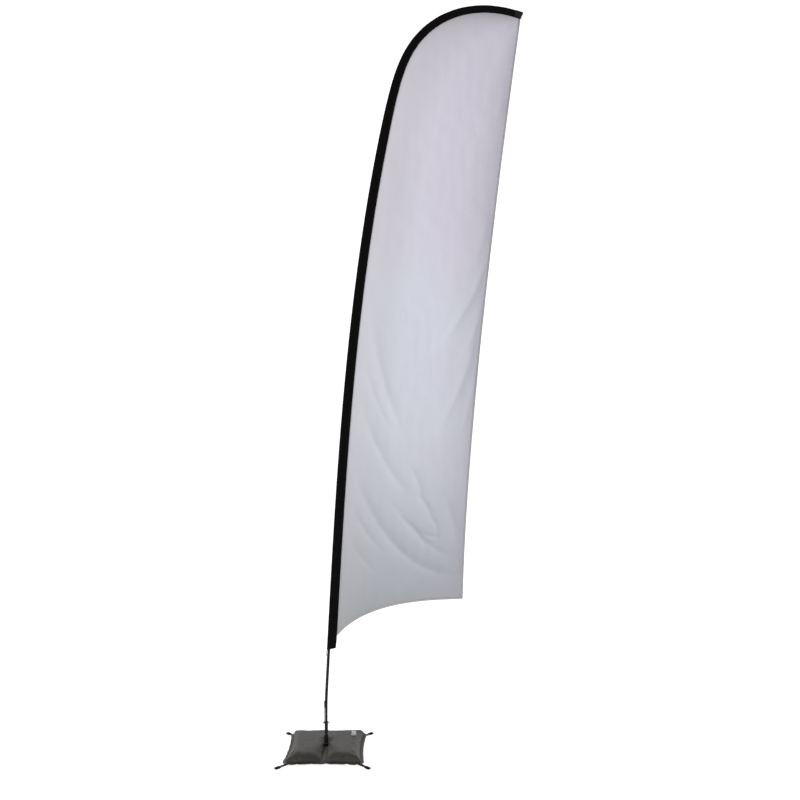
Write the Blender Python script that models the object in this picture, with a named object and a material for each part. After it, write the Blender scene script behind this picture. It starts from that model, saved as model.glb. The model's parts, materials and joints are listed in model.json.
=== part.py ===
"""Feather flag with its pole, on a folding cross base that a water bag weighs down.

Metres, +Z up. The origin is the floor point under the mast's turning axis. The flag lies in
the XZ plane and reaches towards +X. The bag's slit opens towards -Y.
"""

import math

import bmesh
import bpy
from mathutils import Matrix, Vector

CLEARANCE = 0.0003  # between two pieces that touch

# Cross base: two flat bars that cross, the upper one bent down beyond the lower one
LEG_REACH = 0.382  # centre to the end of a leg cap
LEG_WIDTH = 0.018
LEG_THICKNESS = 0.004
LEG_EDGE = 0.0006
FOOT_THICKNESS = 0.003  # rubber under each bar end
CAP_WALL = 0.0015
CAP_LENGTH = 0.032
JOGGLE_START = 0.090  # where the upper bar begins to bend down
JOGGLE_RUN = 0.030
LEG_DIRECTION = math.radians(45)  # of the lower bar; the upper one crosses it squarely

# Pivot bolt and its washers
BOLT_RADIUS = 0.004
BOLT_HEAD_RADIUS = 0.010
BOLT_HEAD_EDGE = 0.0008
BOLT_SQUARE = 0.0082
BOLT_THREAD_LENGTH = 0.0125  # inside the spindle housing
WASHER_RADIUS = 0.011
WASHER_THICKNESS = 0.0012
BUSH_WALL = 0.002

# Ball bearings, spindle housing and spindle
RACE_WALL = 0.00175
JOURNAL_RADIUS = 0.0037
BALL_RADIUS = 0.0012
BALL_COUNT = 8
BALL_PITCH_RADIUS = 0.00675
BEARING_WIDTH = 0.006
CAGE_HALF_WALL = 0.0004
CAGE_HEIGHT = 0.002
HOUSING_WALL = 0.0027
HOUSING_FLOOR = 0.016
HOUSING_SUMP = 0.006  # room for the spindle's end under the lower bearing
HOUSING_EDGE = 0.0008
BEARING_SPACER_LENGTH = 0.042
CLIP_THICKNESS = 0.0012
CLIP_WALL = 0.0024
CLIP_SEAT = 0.0006  # how far a clip reaches into its groove
HOUSING_LIP = 0.0045  # above the housing clip
SHOULDER_RADIUS = 0.0055
FLANGE_RADIUS = 0.012
FLANGE_THICKNESS = 0.0027
NECK_RADIUS = 0.007
NECK_LENGTH = 0.008
SEAT_THICKNESS = 0.003
PIN_RADIUS = 0.0064
PIN_LENGTH = 0.124
PIN_TAPER = 0.004

# Mast line: upright on the spindle, a slight lean, then the bend of the thin tip section
MAST_LENGTH = 5.072  # from the floor, along the line
LEAN_START = 0.240
LEAN_LENGTH = 0.140
LEAN_AT_FOOT = math.radians(3.07)
LEAN_GROWTH_START = 0.600
LEAN_GROWTH = 0.0298  # curvature gained for each metre, in radians per metre
TIP_BEND_LENGTH = 0.904  # the length at the tip that bends fully
TIP_CURVATURE = 2.075  # radians per metre
TIP_BEND_RAMP = 0.094
TIP_FADE = 0.50  # share of the curvature lost by the very tip
PATH_STEP = 0.002
LONGEST_STEP = 0.200
MOST_TURN = math.radians(3.0)

# Pole: three tubes and a solid tip rod, each plugged into the one below
POLE_RADIUS = 0.008
POLE_WALL = 0.0013
POLE_SECTION_LENGTH = 1.320
POLE_PLUG_LENGTH = 0.080
TUBE_COUNT = 3
FERRULE_WALL = 0.0008
FERRULE_LENGTH = 0.060
FOOT_FERRULE_WALL = 0.0022
FOOT_FERRULE_LENGTH = 0.046
TIP_CAP_WALL = 0.0010
TIP_CAP_LENGTH = 0.018
CUT_OVERRUN = 0.005  # how far a bore's cutter runs past the open end

# Hook collar and tether
COLLAR_WALL = 0.0027
COLLAR_HEIGHT = 0.018
EAR_GAP = 0.0047  # from the collar to the inside of an ear's hook
EAR_THICKNESS = 0.0033
EAR_WIDTH = 0.006
EAR_DROP = 0.016
EAR_UNDERSIDE = 0.0070  # below the collar's top, where an ear's underside leaves the collar
EAR_ARCH = (0.0015, 0.0008)  # run and rise of the underside beside the collar
EAR_CORD_SEAT = 0.0072  # below the collar's top, where an ear carries the cord
EAR_FILLET = 0.0006
EAR_BEND = (0.0022, 0.0055, 0.0018)  # run, low end and high end of the bend into the hook
EAR_CREST = (0.0020, 0.0004)  # beyond the collar, and below its top
EAR_ROOT_DROP = 0.0010
TETHER_WIDTH = 0.007
TETHER_THICKNESS = 0.0012
TETHER_RING_WIRE = 0.0012
TETHER_RING_LENGTH = 0.012
TETHER_RING_WIDTH = 0.014
TETHER_EYE_WALL = 0.0015
TETHER_RING_DROP = 0.022  # from the sleeve's low end to the ring's middle
TETHER_TAB_TUCK = 0.045  # length of the tab inside the sleeve
ADJUSTER_BOTTOM = 0.262
ADJUSTER_LENGTH = 0.038
ADJUSTER_WIDTH = 0.012
ADJUSTER_DEPTH = 0.0050
ADJUSTER_EDGE = 0.0008
TETHER_CORD_RADIUS = 0.00125

# Sleeve and flag
SLEEVE_START = 0.613  # along the mast line
SLEEVE_WIDTH = 0.057
SLEEVE_EASE = 0.0035  # from the pole to the sleeve's outside, front and back
SLEEVE_NOSE_EASE = 0.0045  # from the pole to the sleeve's outer fold
SLEEVE_WALL = 0.0012
SLEEVE_WEB_START = 0.030
SLEEVE_TAPER_START = 3.700
SLEEVE_TIP_SHARE = 0.73  # of the width that is left at the tip
END_PATCH_THICKNESS = 0.003
TAPE_WIDTH = 0.004
TAPE_THICKNESS = 0.0016
FLAG_THICKNESS = 0.0008
FLAG_START = 0.700  # along the mast line
FOOT_STRETCH = 0.200  # of the tape above the flag's foot, near enough straight
HEAD_CLEARANCE_SHARE = 1.05  # of the hem's inset, left between the cloth and the sleeve's tip
FLAG_CORNER = (0.8224, 0.920)  # X and Z of the free bottom corner
HEM_WIDTH = 0.012
HEM_THICKNESS = 0.0016
LEECH_PULL = (0.0306, 0.346)  # outward reach, and share of the leech height, of its control point
FOOT_PULL = (0.230, 1.03)  # shares of the bottom edge's width and height at its control point

# Water bag
BAG_WIDTH = 0.480
BAG_SIDE_HOLLOW = 0.012
BAG_CORNER_CUT = 0.014
BAG_RIM_HEIGHT = 0.006
BAG_SHOULDERS = ((0.020, 0.022), (0.030, 0.013), (0.012, 0.0035))  # inset and rise of each step
BAG_HOLE_RADIUS = 0.017
BAG_SLIT_WIDTH = 0.030
BAG_DIMPLE_RADIUS = 0.028
BAG_DIMPLE_DEPTH = 0.008
HOLE_RING_WIDTH = 0.007
HOLE_RING_THICKNESS = 0.0015
FILLER_PLACE = (0.160, 0.104)
FILLER_FLANGE_RADIUS = 0.016
FILLER_FLANGE_THICKNESS = 0.0016
FILLER_NECK_RADIUS = 0.010
FILLER_NECK_WALL = 0.002
FILLER_NECK_HEIGHT = 0.012
FILLER_RIDGE = 0.0003
FILLER_CAP_WALL = 0.003
FILLER_CAP_TOP = 0.002
FILLER_CAP_EDGE = 0.0008
FILLER_CAP_RECESS = (0.0055, 0.0008)  # radius and depth
FILLER_RIDGE_SHARES = (0.3, 0.1)  # of the ridges' pitch: half a ridge's foot and half its crest
SEAL_THICKNESS = 0.0012

# Heights that follow from the stack of legs, washers and bearings
LEG_LOW = FOOT_THICKNESS + CLEARANCE
LEG_LOW_TOP = LEG_LOW + LEG_THICKNESS
LEG_WASHER_LOW = LEG_LOW_TOP + CLEARANCE
LEG_HIGH = LEG_WASHER_LOW + WASHER_THICKNESS + CLEARANCE
LEG_HIGH_TOP = LEG_HIGH + LEG_THICKNESS
SPRING_WASHER_LOW = LEG_HIGH_TOP + CLEARANCE
HOUSING_LOW = SPRING_WASHER_LOW + WASHER_THICKNESS + CLEARANCE
SUMP_LOW = HOUSING_LOW + HOUSING_FLOOR
LOWER_BEARING_LOW = SUMP_LOW + HOUSING_SUMP + CLEARANCE
SPACER_LOW = LOWER_BEARING_LOW + BEARING_WIDTH + CLEARANCE
UPPER_BEARING_LOW = SPACER_LOW + BEARING_SPACER_LENGTH + CLEARANCE
HOUSING_CLIP_LOW = UPPER_BEARING_LOW + BEARING_WIDTH + CLEARANCE
HOUSING_TOP = HOUSING_CLIP_LOW + CLIP_THICKNESS + HOUSING_LIP
FLANGE_LOW = HOUSING_TOP + CLEARANCE
NECK_LOW = FLANGE_LOW + FLANGE_THICKNESS
SEAT_LOW = NECK_LOW + NECK_LENGTH
SEAT_TOP = SEAT_LOW + SEAT_THICKNESS
PIN_TOP = SEAT_TOP + PIN_LENGTH
POLE_LOW = SEAT_TOP + CLEARANCE
COLLAR_LOW = POLE_LOW + FOOT_FERRULE_LENGTH + CLEARANCE
COLLAR_TOP = COLLAR_LOW + COLLAR_HEIGHT
BAG_LOW = LEG_HIGH_TOP + CLEARANCE
BAG_TOP = BAG_LOW + BAG_RIM_HEIGHT + sum(rise for _, rise in BAG_SHOULDERS)
DIMPLE_FLOOR = BAG_TOP - BAG_DIMPLE_DEPTH
FILLER_LOW = BAG_TOP + CLEARANCE

# Radii and places that follow from what fits into what
RACE_INNER_RADIUS = JOURNAL_RADIUS + CLEARANCE
RACE_OUTER_RADIUS = 2 * BALL_PITCH_RADIUS - RACE_INNER_RADIUS
HOUSING_BORE = RACE_OUTER_RADIUS + CLEARANCE
HOUSING_RADIUS = HOUSING_BORE + HOUSING_WALL
FOOT_FERRULE_RADIUS = POLE_RADIUS + CLEARANCE + FOOT_FERRULE_WALL
SLEEVE_END = MAST_LENGTH - END_PATCH_THICKNESS - CLEARANCE
TIP_ROD_END = SLEEVE_END - TIP_CAP_WALL - 2 * CLEARANCE
TETHER_OFFSET = POLE_RADIUS + 2 * CLEARANCE + TETHER_THICKNESS / 2
TETHER_BAR_OFFSET = POLE_RADIUS + 2 * CLEARANCE + TETHER_RING_WIRE + CLEARANCE + TETHER_EYE_WALL
TETHER_RING_MIDDLE = SLEEVE_START - TETHER_RING_DROP
COLLAR_RADIUS = POLE_RADIUS + CLEARANCE + COLLAR_WALL
EAR_REACH = COLLAR_RADIUS + EAR_GAP + EAR_THICKNESS
SLEEVE_HALF_DEPTH = POLE_RADIUS + SLEEVE_EASE
SLEEVE_NOSE = POLE_RADIUS + SLEEVE_NOSE_EASE  # from the mast line


def make_material(name, colour, roughness, metallic=0.0):
    """A Principled material in one colour."""
    material = bpy.data.materials.new(name)
    material.use_nodes = True
    shader = material.node_tree.nodes["Principled BSDF"]
    shader.inputs["Base Color"].default_value = (*colour, 1.0)
    shader.inputs["Roughness"].default_value = roughness
    shader.inputs["Metallic"].default_value = metallic
    material.diffuse_color = (*colour, 1.0)
    return material


def make_materials():
    """The finishes, by name."""
    return {
        "black_steel": make_material("black_steel", (0.020, 0.020, 0.021), 0.5, 0.3),
        "zinc_steel": make_material("zinc_steel", (0.55, 0.56, 0.57), 0.35, 0.9),
        "bearing_steel": make_material("bearing_steel", (0.62, 0.62, 0.63), 0.2, 1.0),
        "black_rubber": make_material("black_rubber", (0.015, 0.015, 0.015), 0.85),
        "black_plastic": make_material("black_plastic", (0.018, 0.018, 0.019), 0.45),
        "pole_fibre": make_material("pole_fibre", (0.012, 0.012, 0.013), 0.35),
        "sleeve_cloth": make_material("sleeve_cloth", (0.014, 0.014, 0.016), 0.9),
        "webbing": make_material("webbing", (0.016, 0.016, 0.017), 0.9),
        "flag_cloth": make_material("flag_cloth", (0.60, 0.60, 0.68), 0.85),
        "bag_sheet": make_material("bag_sheet", (0.090, 0.086, 0.080), 0.55),
        "white_plastic": make_material("white_plastic", (0.75, 0.75, 0.73), 0.4),
        "nylon": make_material("nylon", (0.70, 0.69, 0.64), 0.5),
    }


MATERIALS = {}


def add_object(name, data, material, parent=None):
    """Links data as an object under parent, in one material."""
    piece = bpy.data.objects.new(name, data)
    data.materials.append(MATERIALS[material])
    bpy.context.scene.collection.objects.link(piece)
    piece.parent = parent
    return piece


def finish(name, bm, material, parent=None):
    """Turns a bmesh into a smoothly shaded object with outward faces."""
    bmesh.ops.remove_doubles(bm, verts=bm.verts, dist=1e-7)
    bmesh.ops.recalc_face_normals(bm, faces=bm.faces)
    mesh = bpy.data.meshes.new(name)
    bm.to_mesh(mesh)
    bm.free()
    mesh.shade_smooth()
    mesh.set_sharp_from_angle(angle=math.radians(35))
    return add_object(name, mesh, material, parent)


def add_axis(name, place=(0.0, 0.0, 0.0), parent=None):
    """An empty on a joint's axis, for the pieces that move on it."""
    axis = bpy.data.objects.new(name, None)
    axis.empty_display_size = 0.05
    axis.location = place
    axis.parent = parent
    bpy.context.scene.collection.objects.link(axis)
    return axis


def combine(piece, tool, operation="DIFFERENCE"):
    """Cuts the tool from the piece, or joins it on, and hides the tool."""
    tool.hide_render = True
    tool.display_type = "WIRE"
    boolean = piece.modifiers.new(tool.name, "BOOLEAN")
    boolean.operation = operation
    boolean.solver = "EXACT"
    boolean.object = tool


def loop_face(bm, points):
    """One face through points."""
    return bm.faces.new([bm.verts.new(point) for point in points])


def extrude(bm, faces):
    """Extrudes a region of faces; returns its new end faces and their points, still in place."""
    edges = list(dict.fromkeys(edge for face in faces for edge in face.edges))
    made = bmesh.ops.extrude_face_region(bm, geom=[*faces, *edges])["geom"]
    ends = [item for item in made if isinstance(item, bmesh.types.BMFace)]
    return ends, [item for item in made if isinstance(item, bmesh.types.BMVert)]


def turned(name, outline, material, parent=None, sides=24):
    """A turned piece from (radius, height) points, closed by itself or by the axis."""
    bm = bmesh.new()
    verts = [bm.verts.new((radius, 0.0, height)) for radius, height in outline]
    pairs = list(zip(verts, verts[1:]))
    if outline[0][0] > 0:
        pairs.append((verts[-1], verts[0]))
    edges = [bm.edges.new(pair) for pair in pairs]
    bmesh.ops.spin(
        bm,
        geom=verts + edges,
        cent=(0.0, 0.0, 0.0),
        axis=(0.0, 0.0, 1.0),
        dvec=(0.0, 0.0, 0.0),
        angle=math.tau,
        steps=sides,
        use_merge=True,
    )
    return finish(name, bm, material, parent)


def ring(name, inner, outer, low, high, material, parent=None, sides=24):
    """A plain turned ring."""
    outline = [(inner, high), (outer, high), (outer, low), (inner, low)]
    return turned(name, outline, material, parent, sides)


def block(name, low, high, material, parent=None, edge=0.0):
    """A box between two corners, with its edges bevelled by edge."""
    low = Vector(low)
    high = Vector(high)
    bm = bmesh.new()
    place = Matrix.LocRotScale((low + high) / 2, None, high - low)
    bmesh.ops.create_cube(bm, size=1.0, matrix=place)
    if edge:
        bmesh.ops.bevel(
            bm, geom=bm.edges[:], offset=edge, segments=1, profile=0.5, affect="EDGES", material=-1
        )
    return finish(name, bm, material, parent)


def slab(name, outline, along, material, parent=None):
    """A flat outline of points, extruded by the vector along."""
    bm = bmesh.new()
    face = loop_face(bm, outline)
    _, moved = extrude(bm, [face])
    bmesh.ops.translate(bm, vec=along, verts=moved)
    return finish(name, bm, material, parent)


def rod(name, middle, radius, length, axis, material, parent=None, sides=16):
    """A plain cylinder centred on middle, along the X, Y or Z axis."""
    turn = {"X": Matrix.Rotation(math.pi / 2, 4, "Y"), "Y": Matrix.Rotation(math.pi / 2, 4, "X")}
    bm = bmesh.new()
    bmesh.ops.create_cone(
        bm,
        cap_ends=True,
        segments=sides,
        radius1=radius,
        radius2=radius,
        depth=length,
        matrix=Matrix.Translation(middle) @ turn.get(axis, Matrix()),
    )
    return finish(name, bm, material, parent)


def curvature(along):
    """How sharply the mast line turns at this length along it, in radians per metre."""
    total = 0.0
    if LEAN_START < along < LEAN_START + LEAN_LENGTH:
        total += LEAN_AT_FOOT / LEAN_LENGTH
    total += LEAN_GROWTH * max(along - LEAN_GROWTH_START, 0.0)
    past_start = along - (MAST_LENGTH - TIP_BEND_LENGTH)
    ramp = 1.0 / (1.0 + math.exp(-past_start / TIP_BEND_RAMP))
    fade = TIP_FADE * max(past_start / TIP_BEND_LENGTH, 0.0) ** 2
    return total + TIP_CURVATURE * ramp * (1.0 - fade)


def next_mark(mark):
    """The next place along the mast line, nearer where it bends more."""
    bend = max(curvature(mark + share * LONGEST_STEP) for share in (0.0, 0.25, 0.5, 1.0))
    return mark + min(LONGEST_STEP, MOST_TURN / max(bend, 0.001))


def mast_marks():
    """(length along, X, Z, lean) where the mast line's straight pieces meet."""
    targets = [0.0, LEAN_START]
    while targets[-1] < MAST_LENGTH:
        targets.append(next_mark(targets[-1]))
    targets[-1] = MAST_LENGTH
    marks = []
    along = x = z = lean = 0.0
    for target in targets:
        steps = max(round((target - along) / PATH_STEP), 1)
        step = (target - along) / steps
        for _ in range(steps):
            half_turn = curvature(along + step / 2) * step / 2
            lean += half_turn
            x += math.sin(lean) * step
            z += math.cos(lean) * step
            lean += half_turn
            along += step
        marks.append((target, x, z, lean))
    return marks


MARKS = mast_marks()


def mast_frame(along):
    """The place and lean of the mast line: local Z runs up it, and local X towards the flag."""
    upper = next(index for index, mark in enumerate(MARKS) if mark[0] >= along - 1e-9)
    before = MARKS[max(upper - 1, 0)]
    after = MARKS[max(upper, 1)]
    share = (along - before[0]) / (after[0] - before[0])
    x, z, lean = (low + (high - low) * share for low, high in zip(before[1:], after[1:]))
    return Matrix.Translation((x, 0.0, z)) @ Matrix.Rotation(lean, 4, "Y")


def places_between(start, end):
    """Lengths along the mast line from start to end, with every mark between them."""
    inner = [mark[0] for mark in MARKS if start + 0.001 < mark[0] < end - 0.001]
    return [start, *inner, end]


def sleeve_share(along):
    """How much of its full width the sleeve has here."""
    run = (along - SLEEVE_TAPER_START) / (MAST_LENGTH - SLEEVE_TAPER_START)
    return 1.0 - (1.0 - SLEEVE_TIP_SHARE) * max(run, 0.0)


def seam_offset(along):
    """From the mast line to the sleeve's seam edge."""
    return (SLEEVE_WIDTH - SLEEVE_NOSE) * sleeve_share(along)


def sleeve_frame(along):
    """The mast frame, narrowed across as the sleeve is."""
    return mast_frame(along) @ Matrix.Diagonal((sleeve_share(along), 1.0, 1.0, 1.0))


def seam_frame(along):
    """The mast frame, moved to the sleeve's seam edge."""
    return mast_frame(along) @ Matrix.Translation((seam_offset(along), 0.0, 0.0))


def swept(name, faces_of, start, end, material, parent=None, frame_of=mast_frame):
    """Extrudes the faces that faces_of makes at the origin along the mast line."""
    bm = bmesh.new()
    region = faces_of(bm)
    places = places_between(start, end)
    frame = frame_of(places[0])
    bmesh.ops.transform(bm, matrix=frame, verts=bm.verts[:])
    for place in places[1:]:
        region, verts = extrude(bm, region)
        following = frame_of(place)
        bmesh.ops.transform(bm, matrix=following @ frame.inverted(), verts=verts)
        frame = following
    return finish(name, bm, material, parent)


def outlined(points):
    """Makes one face through flat points."""
    return lambda bm: [loop_face(bm, [(x, y, 0.0) for x, y in points])]


def circle(radius, sides):
    """Flat points round the mast line."""
    angles = [math.tau * index / sides for index in range(sides)]
    return [(radius * math.cos(angle), radius * math.sin(angle)) for angle in angles]


def walled(outer, inner):
    """Makes the faces between two outlines that have the same number of points."""

    def faces(bm):
        outside = [bm.verts.new((x, y, 0.0)) for x, y in outer]
        inside = [bm.verts.new((x, y, 0.0)) for x, y in inner]
        count = len(outer)
        made = []
        for index in range(count):
            after = (index + 1) % count
            corners = (outside[index], outside[after], inside[after], inside[index])
            made.append(bm.faces.new(corners))
        return made

    return faces


def annulus(outer, inner, sides):
    """Makes the faces of a flat ring."""
    return walled(circle(outer, sides), circle(inner, sides))


def rectangle(x_middle, x_size, y_size):
    """Makes a rectangular face, centred on the mast's plane."""
    corners = ((-1, -1), (1, -1), (1, 1), (-1, 1))
    return outlined([(x_middle + x_size / 2 * x, y_size / 2 * y) for x, y in corners])


# ---------------------------------------------------------------- cross base


def add_leg_cap(name, parent, turn):
    """The rubber cap and foot on one end of a bar."""
    half_width = LEG_WIDTH / 2 + CLEARANCE + CAP_WALL
    start = LEG_REACH - CAP_LENGTH
    top = LEG_LOW_TOP + CLEARANCE + CAP_WALL
    cap = block(
        name,
        (start, -half_width, 0.0),
        (LEG_REACH, half_width, top),
        "black_rubber",
        parent,
        edge=LEG_EDGE,
    )
    pocket = block(
        name + "_pocket",
        (start - CAP_WALL, CAP_WALL - half_width, FOOT_THICKNESS),
        (LEG_REACH - CAP_WALL, half_width - CAP_WALL, top - CAP_WALL),
        "black_rubber",
        parent,
    )
    combine(cap, pocket)
    for piece in (cap, pocket):
        piece.rotation_euler.z = turn


def add_lower_leg(base):
    """The straight bar on the floor side, with the bolt's square hole."""
    half_length = LEG_REACH - CAP_WALL - CLEARANCE
    leg = block(
        "lower_leg_bar",
        (-half_length, -LEG_WIDTH / 2, LEG_LOW),
        (half_length, LEG_WIDTH / 2, LEG_LOW_TOP),
        "black_steel",
        base,
        edge=LEG_EDGE,
    )
    half_hole = BOLT_SQUARE / 2 + CLEARANCE
    hole = block(
        "bolt_square_hole",
        (-half_hole, -half_hole, 0.0),
        (half_hole, half_hole, LEG_HIGH),
        "black_steel",
        base,
    )
    combine(leg, hole)
    leg.rotation_euler.z = LEG_DIRECTION
    hole.rotation_euler.z = LEG_DIRECTION
    add_leg_cap("leg_cap_back_right", base, LEG_DIRECTION)
    add_leg_cap("leg_cap_front_left", base, LEG_DIRECTION + math.pi)


def add_upper_leg(fold_axis):
    """The bent bar that swings about the pivot bolt, with its bush."""
    half_length = LEG_REACH - CAP_WALL - CLEARANCE
    joggle_end = JOGGLE_START + JOGGLE_RUN
    low_side = [
        (half_length, LEG_LOW),
        (joggle_end, LEG_LOW),
        (JOGGLE_START, LEG_HIGH),
        (-JOGGLE_START, LEG_HIGH),
        (-joggle_end, LEG_LOW),
        (-half_length, LEG_LOW),
    ]
    high_side = [(x, z + LEG_THICKNESS) for x, z in reversed(low_side)]
    outline = [(x, -LEG_WIDTH / 2, z) for x, z in low_side + high_side]
    leg = slab("upper_leg_bar", outline, (0.0, LEG_WIDTH, 0.0), "black_steel", fold_axis)
    bush_radius = BOLT_RADIUS + CLEARANCE + BUSH_WALL
    hole = rod(
        "pivot_bush_hole",
        (0.0, 0.0, LEG_HIGH),
        bush_radius + CLEARANCE,
        3 * LEG_THICKNESS,
        "Z",
        "black_steel",
        fold_axis,
        sides=24,
    )
    combine(leg, hole)
    direction = LEG_DIRECTION - math.pi / 2
    leg.rotation_euler.z = direction
    ring("pivot_bush", BOLT_RADIUS + CLEARANCE, bush_radius, LEG_HIGH, LEG_HIGH_TOP, "nylon", fold_axis)
    add_leg_cap("leg_cap_front_right", fold_axis, direction)
    add_leg_cap("leg_cap_back_left", fold_axis, direction + math.pi)


def add_pivot(base):
    """The bolt that holds both bars and the housing, and its two washers."""
    tip = HOUSING_LOW + BOLT_THREAD_LENGTH
    outline = [
        (0.0, 0.0),
        (BOLT_HEAD_RADIUS - BOLT_HEAD_EDGE, 0.0),
        (BOLT_HEAD_RADIUS, BOLT_HEAD_EDGE),
        (BOLT_HEAD_RADIUS, FOOT_THICKNESS),
        (BOLT_RADIUS, FOOT_THICKNESS),
        (BOLT_RADIUS, tip - BOLT_HEAD_EDGE),
        (BOLT_RADIUS - BOLT_HEAD_EDGE, tip),
        (0.0, tip),
    ]
    bolt = turned("pivot_bolt", outline, "zinc_steel", base)
    square = block(
        "bolt_square_neck",
        (-BOLT_SQUARE / 2, -BOLT_SQUARE / 2, FOOT_THICKNESS - BOLT_HEAD_EDGE),
        (BOLT_SQUARE / 2, BOLT_SQUARE / 2, LEG_LOW_TOP),
        "zinc_steel",
        base,
    )
    square.rotation_euler.z = LEG_DIRECTION
    combine(bolt, square, "UNION")
    hole = BOLT_RADIUS + CLEARANCE
    for name, low, material in (
        ("leg_washer", LEG_WASHER_LOW, "nylon"),
        ("spring_washer", SPRING_WASHER_LOW, "zinc_steel"),
    ):
        ring(name, hole, WASHER_RADIUS, low, low + WASHER_THICKNESS, material, base)


def groove_points(surface_radius, low):
    """(radius, height) points of a ball groove cut into a race, from its top to its bottom."""
    groove = BALL_RADIUS + CLEARANCE
    depth = abs(surface_radius - BALL_PITCH_RADIUS)
    half_angle = math.acos(depth / groove)
    side = math.copysign(1.0, surface_radius - BALL_PITCH_RADIUS)
    middle = low + BEARING_WIDTH / 2
    points = []
    for share in (1.0, 0.5, 0.0, -0.5, -1.0):
        angle = half_angle * share
        radius = BALL_PITCH_RADIUS + side * groove * math.cos(angle)
        points.append((radius, middle + groove * math.sin(angle)))
    return points


def add_bearing(name, low, base, turn_axis):
    """A ball bearing: the outer race stays with the housing, the rest turns with the spindle."""
    high = low + BEARING_WIDTH
    outer_face = RACE_OUTER_RADIUS - RACE_WALL
    inner_face = RACE_INNER_RADIUS + RACE_WALL
    outer = [(outer_face, high), (RACE_OUTER_RADIUS, high), (RACE_OUTER_RADIUS, low), (outer_face, low)]
    outer += reversed(groove_points(outer_face, low))
    turned(name + "_outer_race", outer, "bearing_steel", base, sides=20)
    inner = [(RACE_INNER_RADIUS, high), (inner_face, high)]
    inner += groove_points(inner_face, low)
    inner += [(inner_face, low), (RACE_INNER_RADIUS, low)]
    turned(name + "_inner_race", inner, "bearing_steel", turn_axis, sides=20)
    middle = (low + high) / 2
    cage = ring(
        name + "_ball_cage",
        BALL_PITCH_RADIUS - CAGE_HALF_WALL,
        BALL_PITCH_RADIUS + CAGE_HALF_WALL,
        middle - CAGE_HEIGHT / 2,
        middle + CAGE_HEIGHT / 2,
        "bearing_steel",
        turn_axis,
        sides=32,
    )
    bm = bmesh.new()
    for index in range(BALL_COUNT):
        angle = math.tau * index / BALL_COUNT
        place = Vector((BALL_PITCH_RADIUS * math.cos(angle), BALL_PITCH_RADIUS * math.sin(angle), middle))
        bmesh.ops.create_icosphere(
            bm, subdivisions=1, radius=BALL_RADIUS, matrix=Matrix.Translation(place)
        )
    balls = finish(name + "_balls", bm, "bearing_steel", turn_axis)
    combine(cage, balls, "UNION")


def add_housing(base):
    """The tube that the bolt holds on the legs, bored for two bearings."""
    groove = HOUSING_BORE + CLIP_SEAT + CLEARANCE
    clip_high = HOUSING_CLIP_LOW + CLIP_THICKNESS + CLEARANCE
    sump_radius = HOUSING_BORE - RACE_WALL
    outline = [
        (HOUSING_BORE, HOUSING_TOP),
        (HOUSING_RADIUS - HOUSING_EDGE, HOUSING_TOP),
        (HOUSING_RADIUS, HOUSING_TOP - HOUSING_EDGE),
        (HOUSING_RADIUS, HOUSING_LOW + HOUSING_EDGE),
        (HOUSING_RADIUS - HOUSING_EDGE, HOUSING_LOW),
        (BOLT_RADIUS + CLEARANCE, HOUSING_LOW),
        (BOLT_RADIUS + CLEARANCE, SUMP_LOW),
        (sump_radius, SUMP_LOW),
        (sump_radius, LOWER_BEARING_LOW - CLEARANCE),
        (HOUSING_BORE, LOWER_BEARING_LOW - CLEARANCE),
        (HOUSING_BORE, HOUSING_CLIP_LOW - CLEARANCE),
        (groove, HOUSING_CLIP_LOW - CLEARANCE),
        (groove, clip_high),
        (HOUSING_BORE, clip_high),
    ]
    turned("spindle_housing", outline, "black_steel", base, sides=32)
    spacer_high = SPACER_LOW + BEARING_SPACER_LENGTH
    spacer_bore = RACE_OUTER_RADIUS - RACE_WALL
    ring("bearing_spacer", spacer_bore, RACE_OUTER_RADIUS, SPACER_LOW, spacer_high, "zinc_steel", base)


def add_clip(name, inner, outer, low, parent):
    """A retaining ring with the gap that lets it spring into its groove."""
    clip = ring(name, inner, outer, low, low + CLIP_THICKNESS, "zinc_steel", parent)
    gap = block(
        name + "_gap",
        (0.0, -CLIP_WALL / 2, low - CLIP_THICKNESS),
        (2 * outer, CLIP_WALL / 2, low + 2 * CLIP_THICKNESS),
        "zinc_steel",
        parent,
    )
    combine(clip, gap)


def add_spindle(turn_axis):
    """The turned spindle: journal in the bearings, dust flange, neck, seat and pin."""
    clip_low = LOWER_BEARING_LOW - CLEARANCE - CLIP_THICKNESS
    groove = JOURNAL_RADIUS - CLIP_SEAT
    outline = [
        (0.0, clip_low - 2 * CLIP_THICKNESS),
        (JOURNAL_RADIUS, clip_low - 2 * CLIP_THICKNESS),
        (JOURNAL_RADIUS, clip_low - CLEARANCE),
        (groove, clip_low - CLEARANCE),
        (groove, LOWER_BEARING_LOW),
        (JOURNAL_RADIUS, LOWER_BEARING_LOW),
        (JOURNAL_RADIUS, HOUSING_CLIP_LOW),
        (SHOULDER_RADIUS, HOUSING_CLIP_LOW),
        (SHOULDER_RADIUS, FLANGE_LOW),
        (FLANGE_RADIUS, FLANGE_LOW),
        (FLANGE_RADIUS, NECK_LOW),
        (NECK_RADIUS, NECK_LOW),
        (NECK_RADIUS, SEAT_LOW),
        (FOOT_FERRULE_RADIUS, SEAT_LOW),
        (FOOT_FERRULE_RADIUS, SEAT_TOP),
        (PIN_RADIUS, SEAT_TOP),
        (PIN_RADIUS, PIN_TOP - PIN_TAPER),
        (PIN_RADIUS - PIN_TAPER / 3, PIN_TOP),
        (0.0, PIN_TOP),
    ]
    turned("spindle", outline, "zinc_steel", turn_axis)
    inner = groove + CLEARANCE
    add_clip("spindle_clip", inner, inner + CLIP_WALL, clip_low, turn_axis)


# ---------------------------------------------------------------- pole and tether


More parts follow.
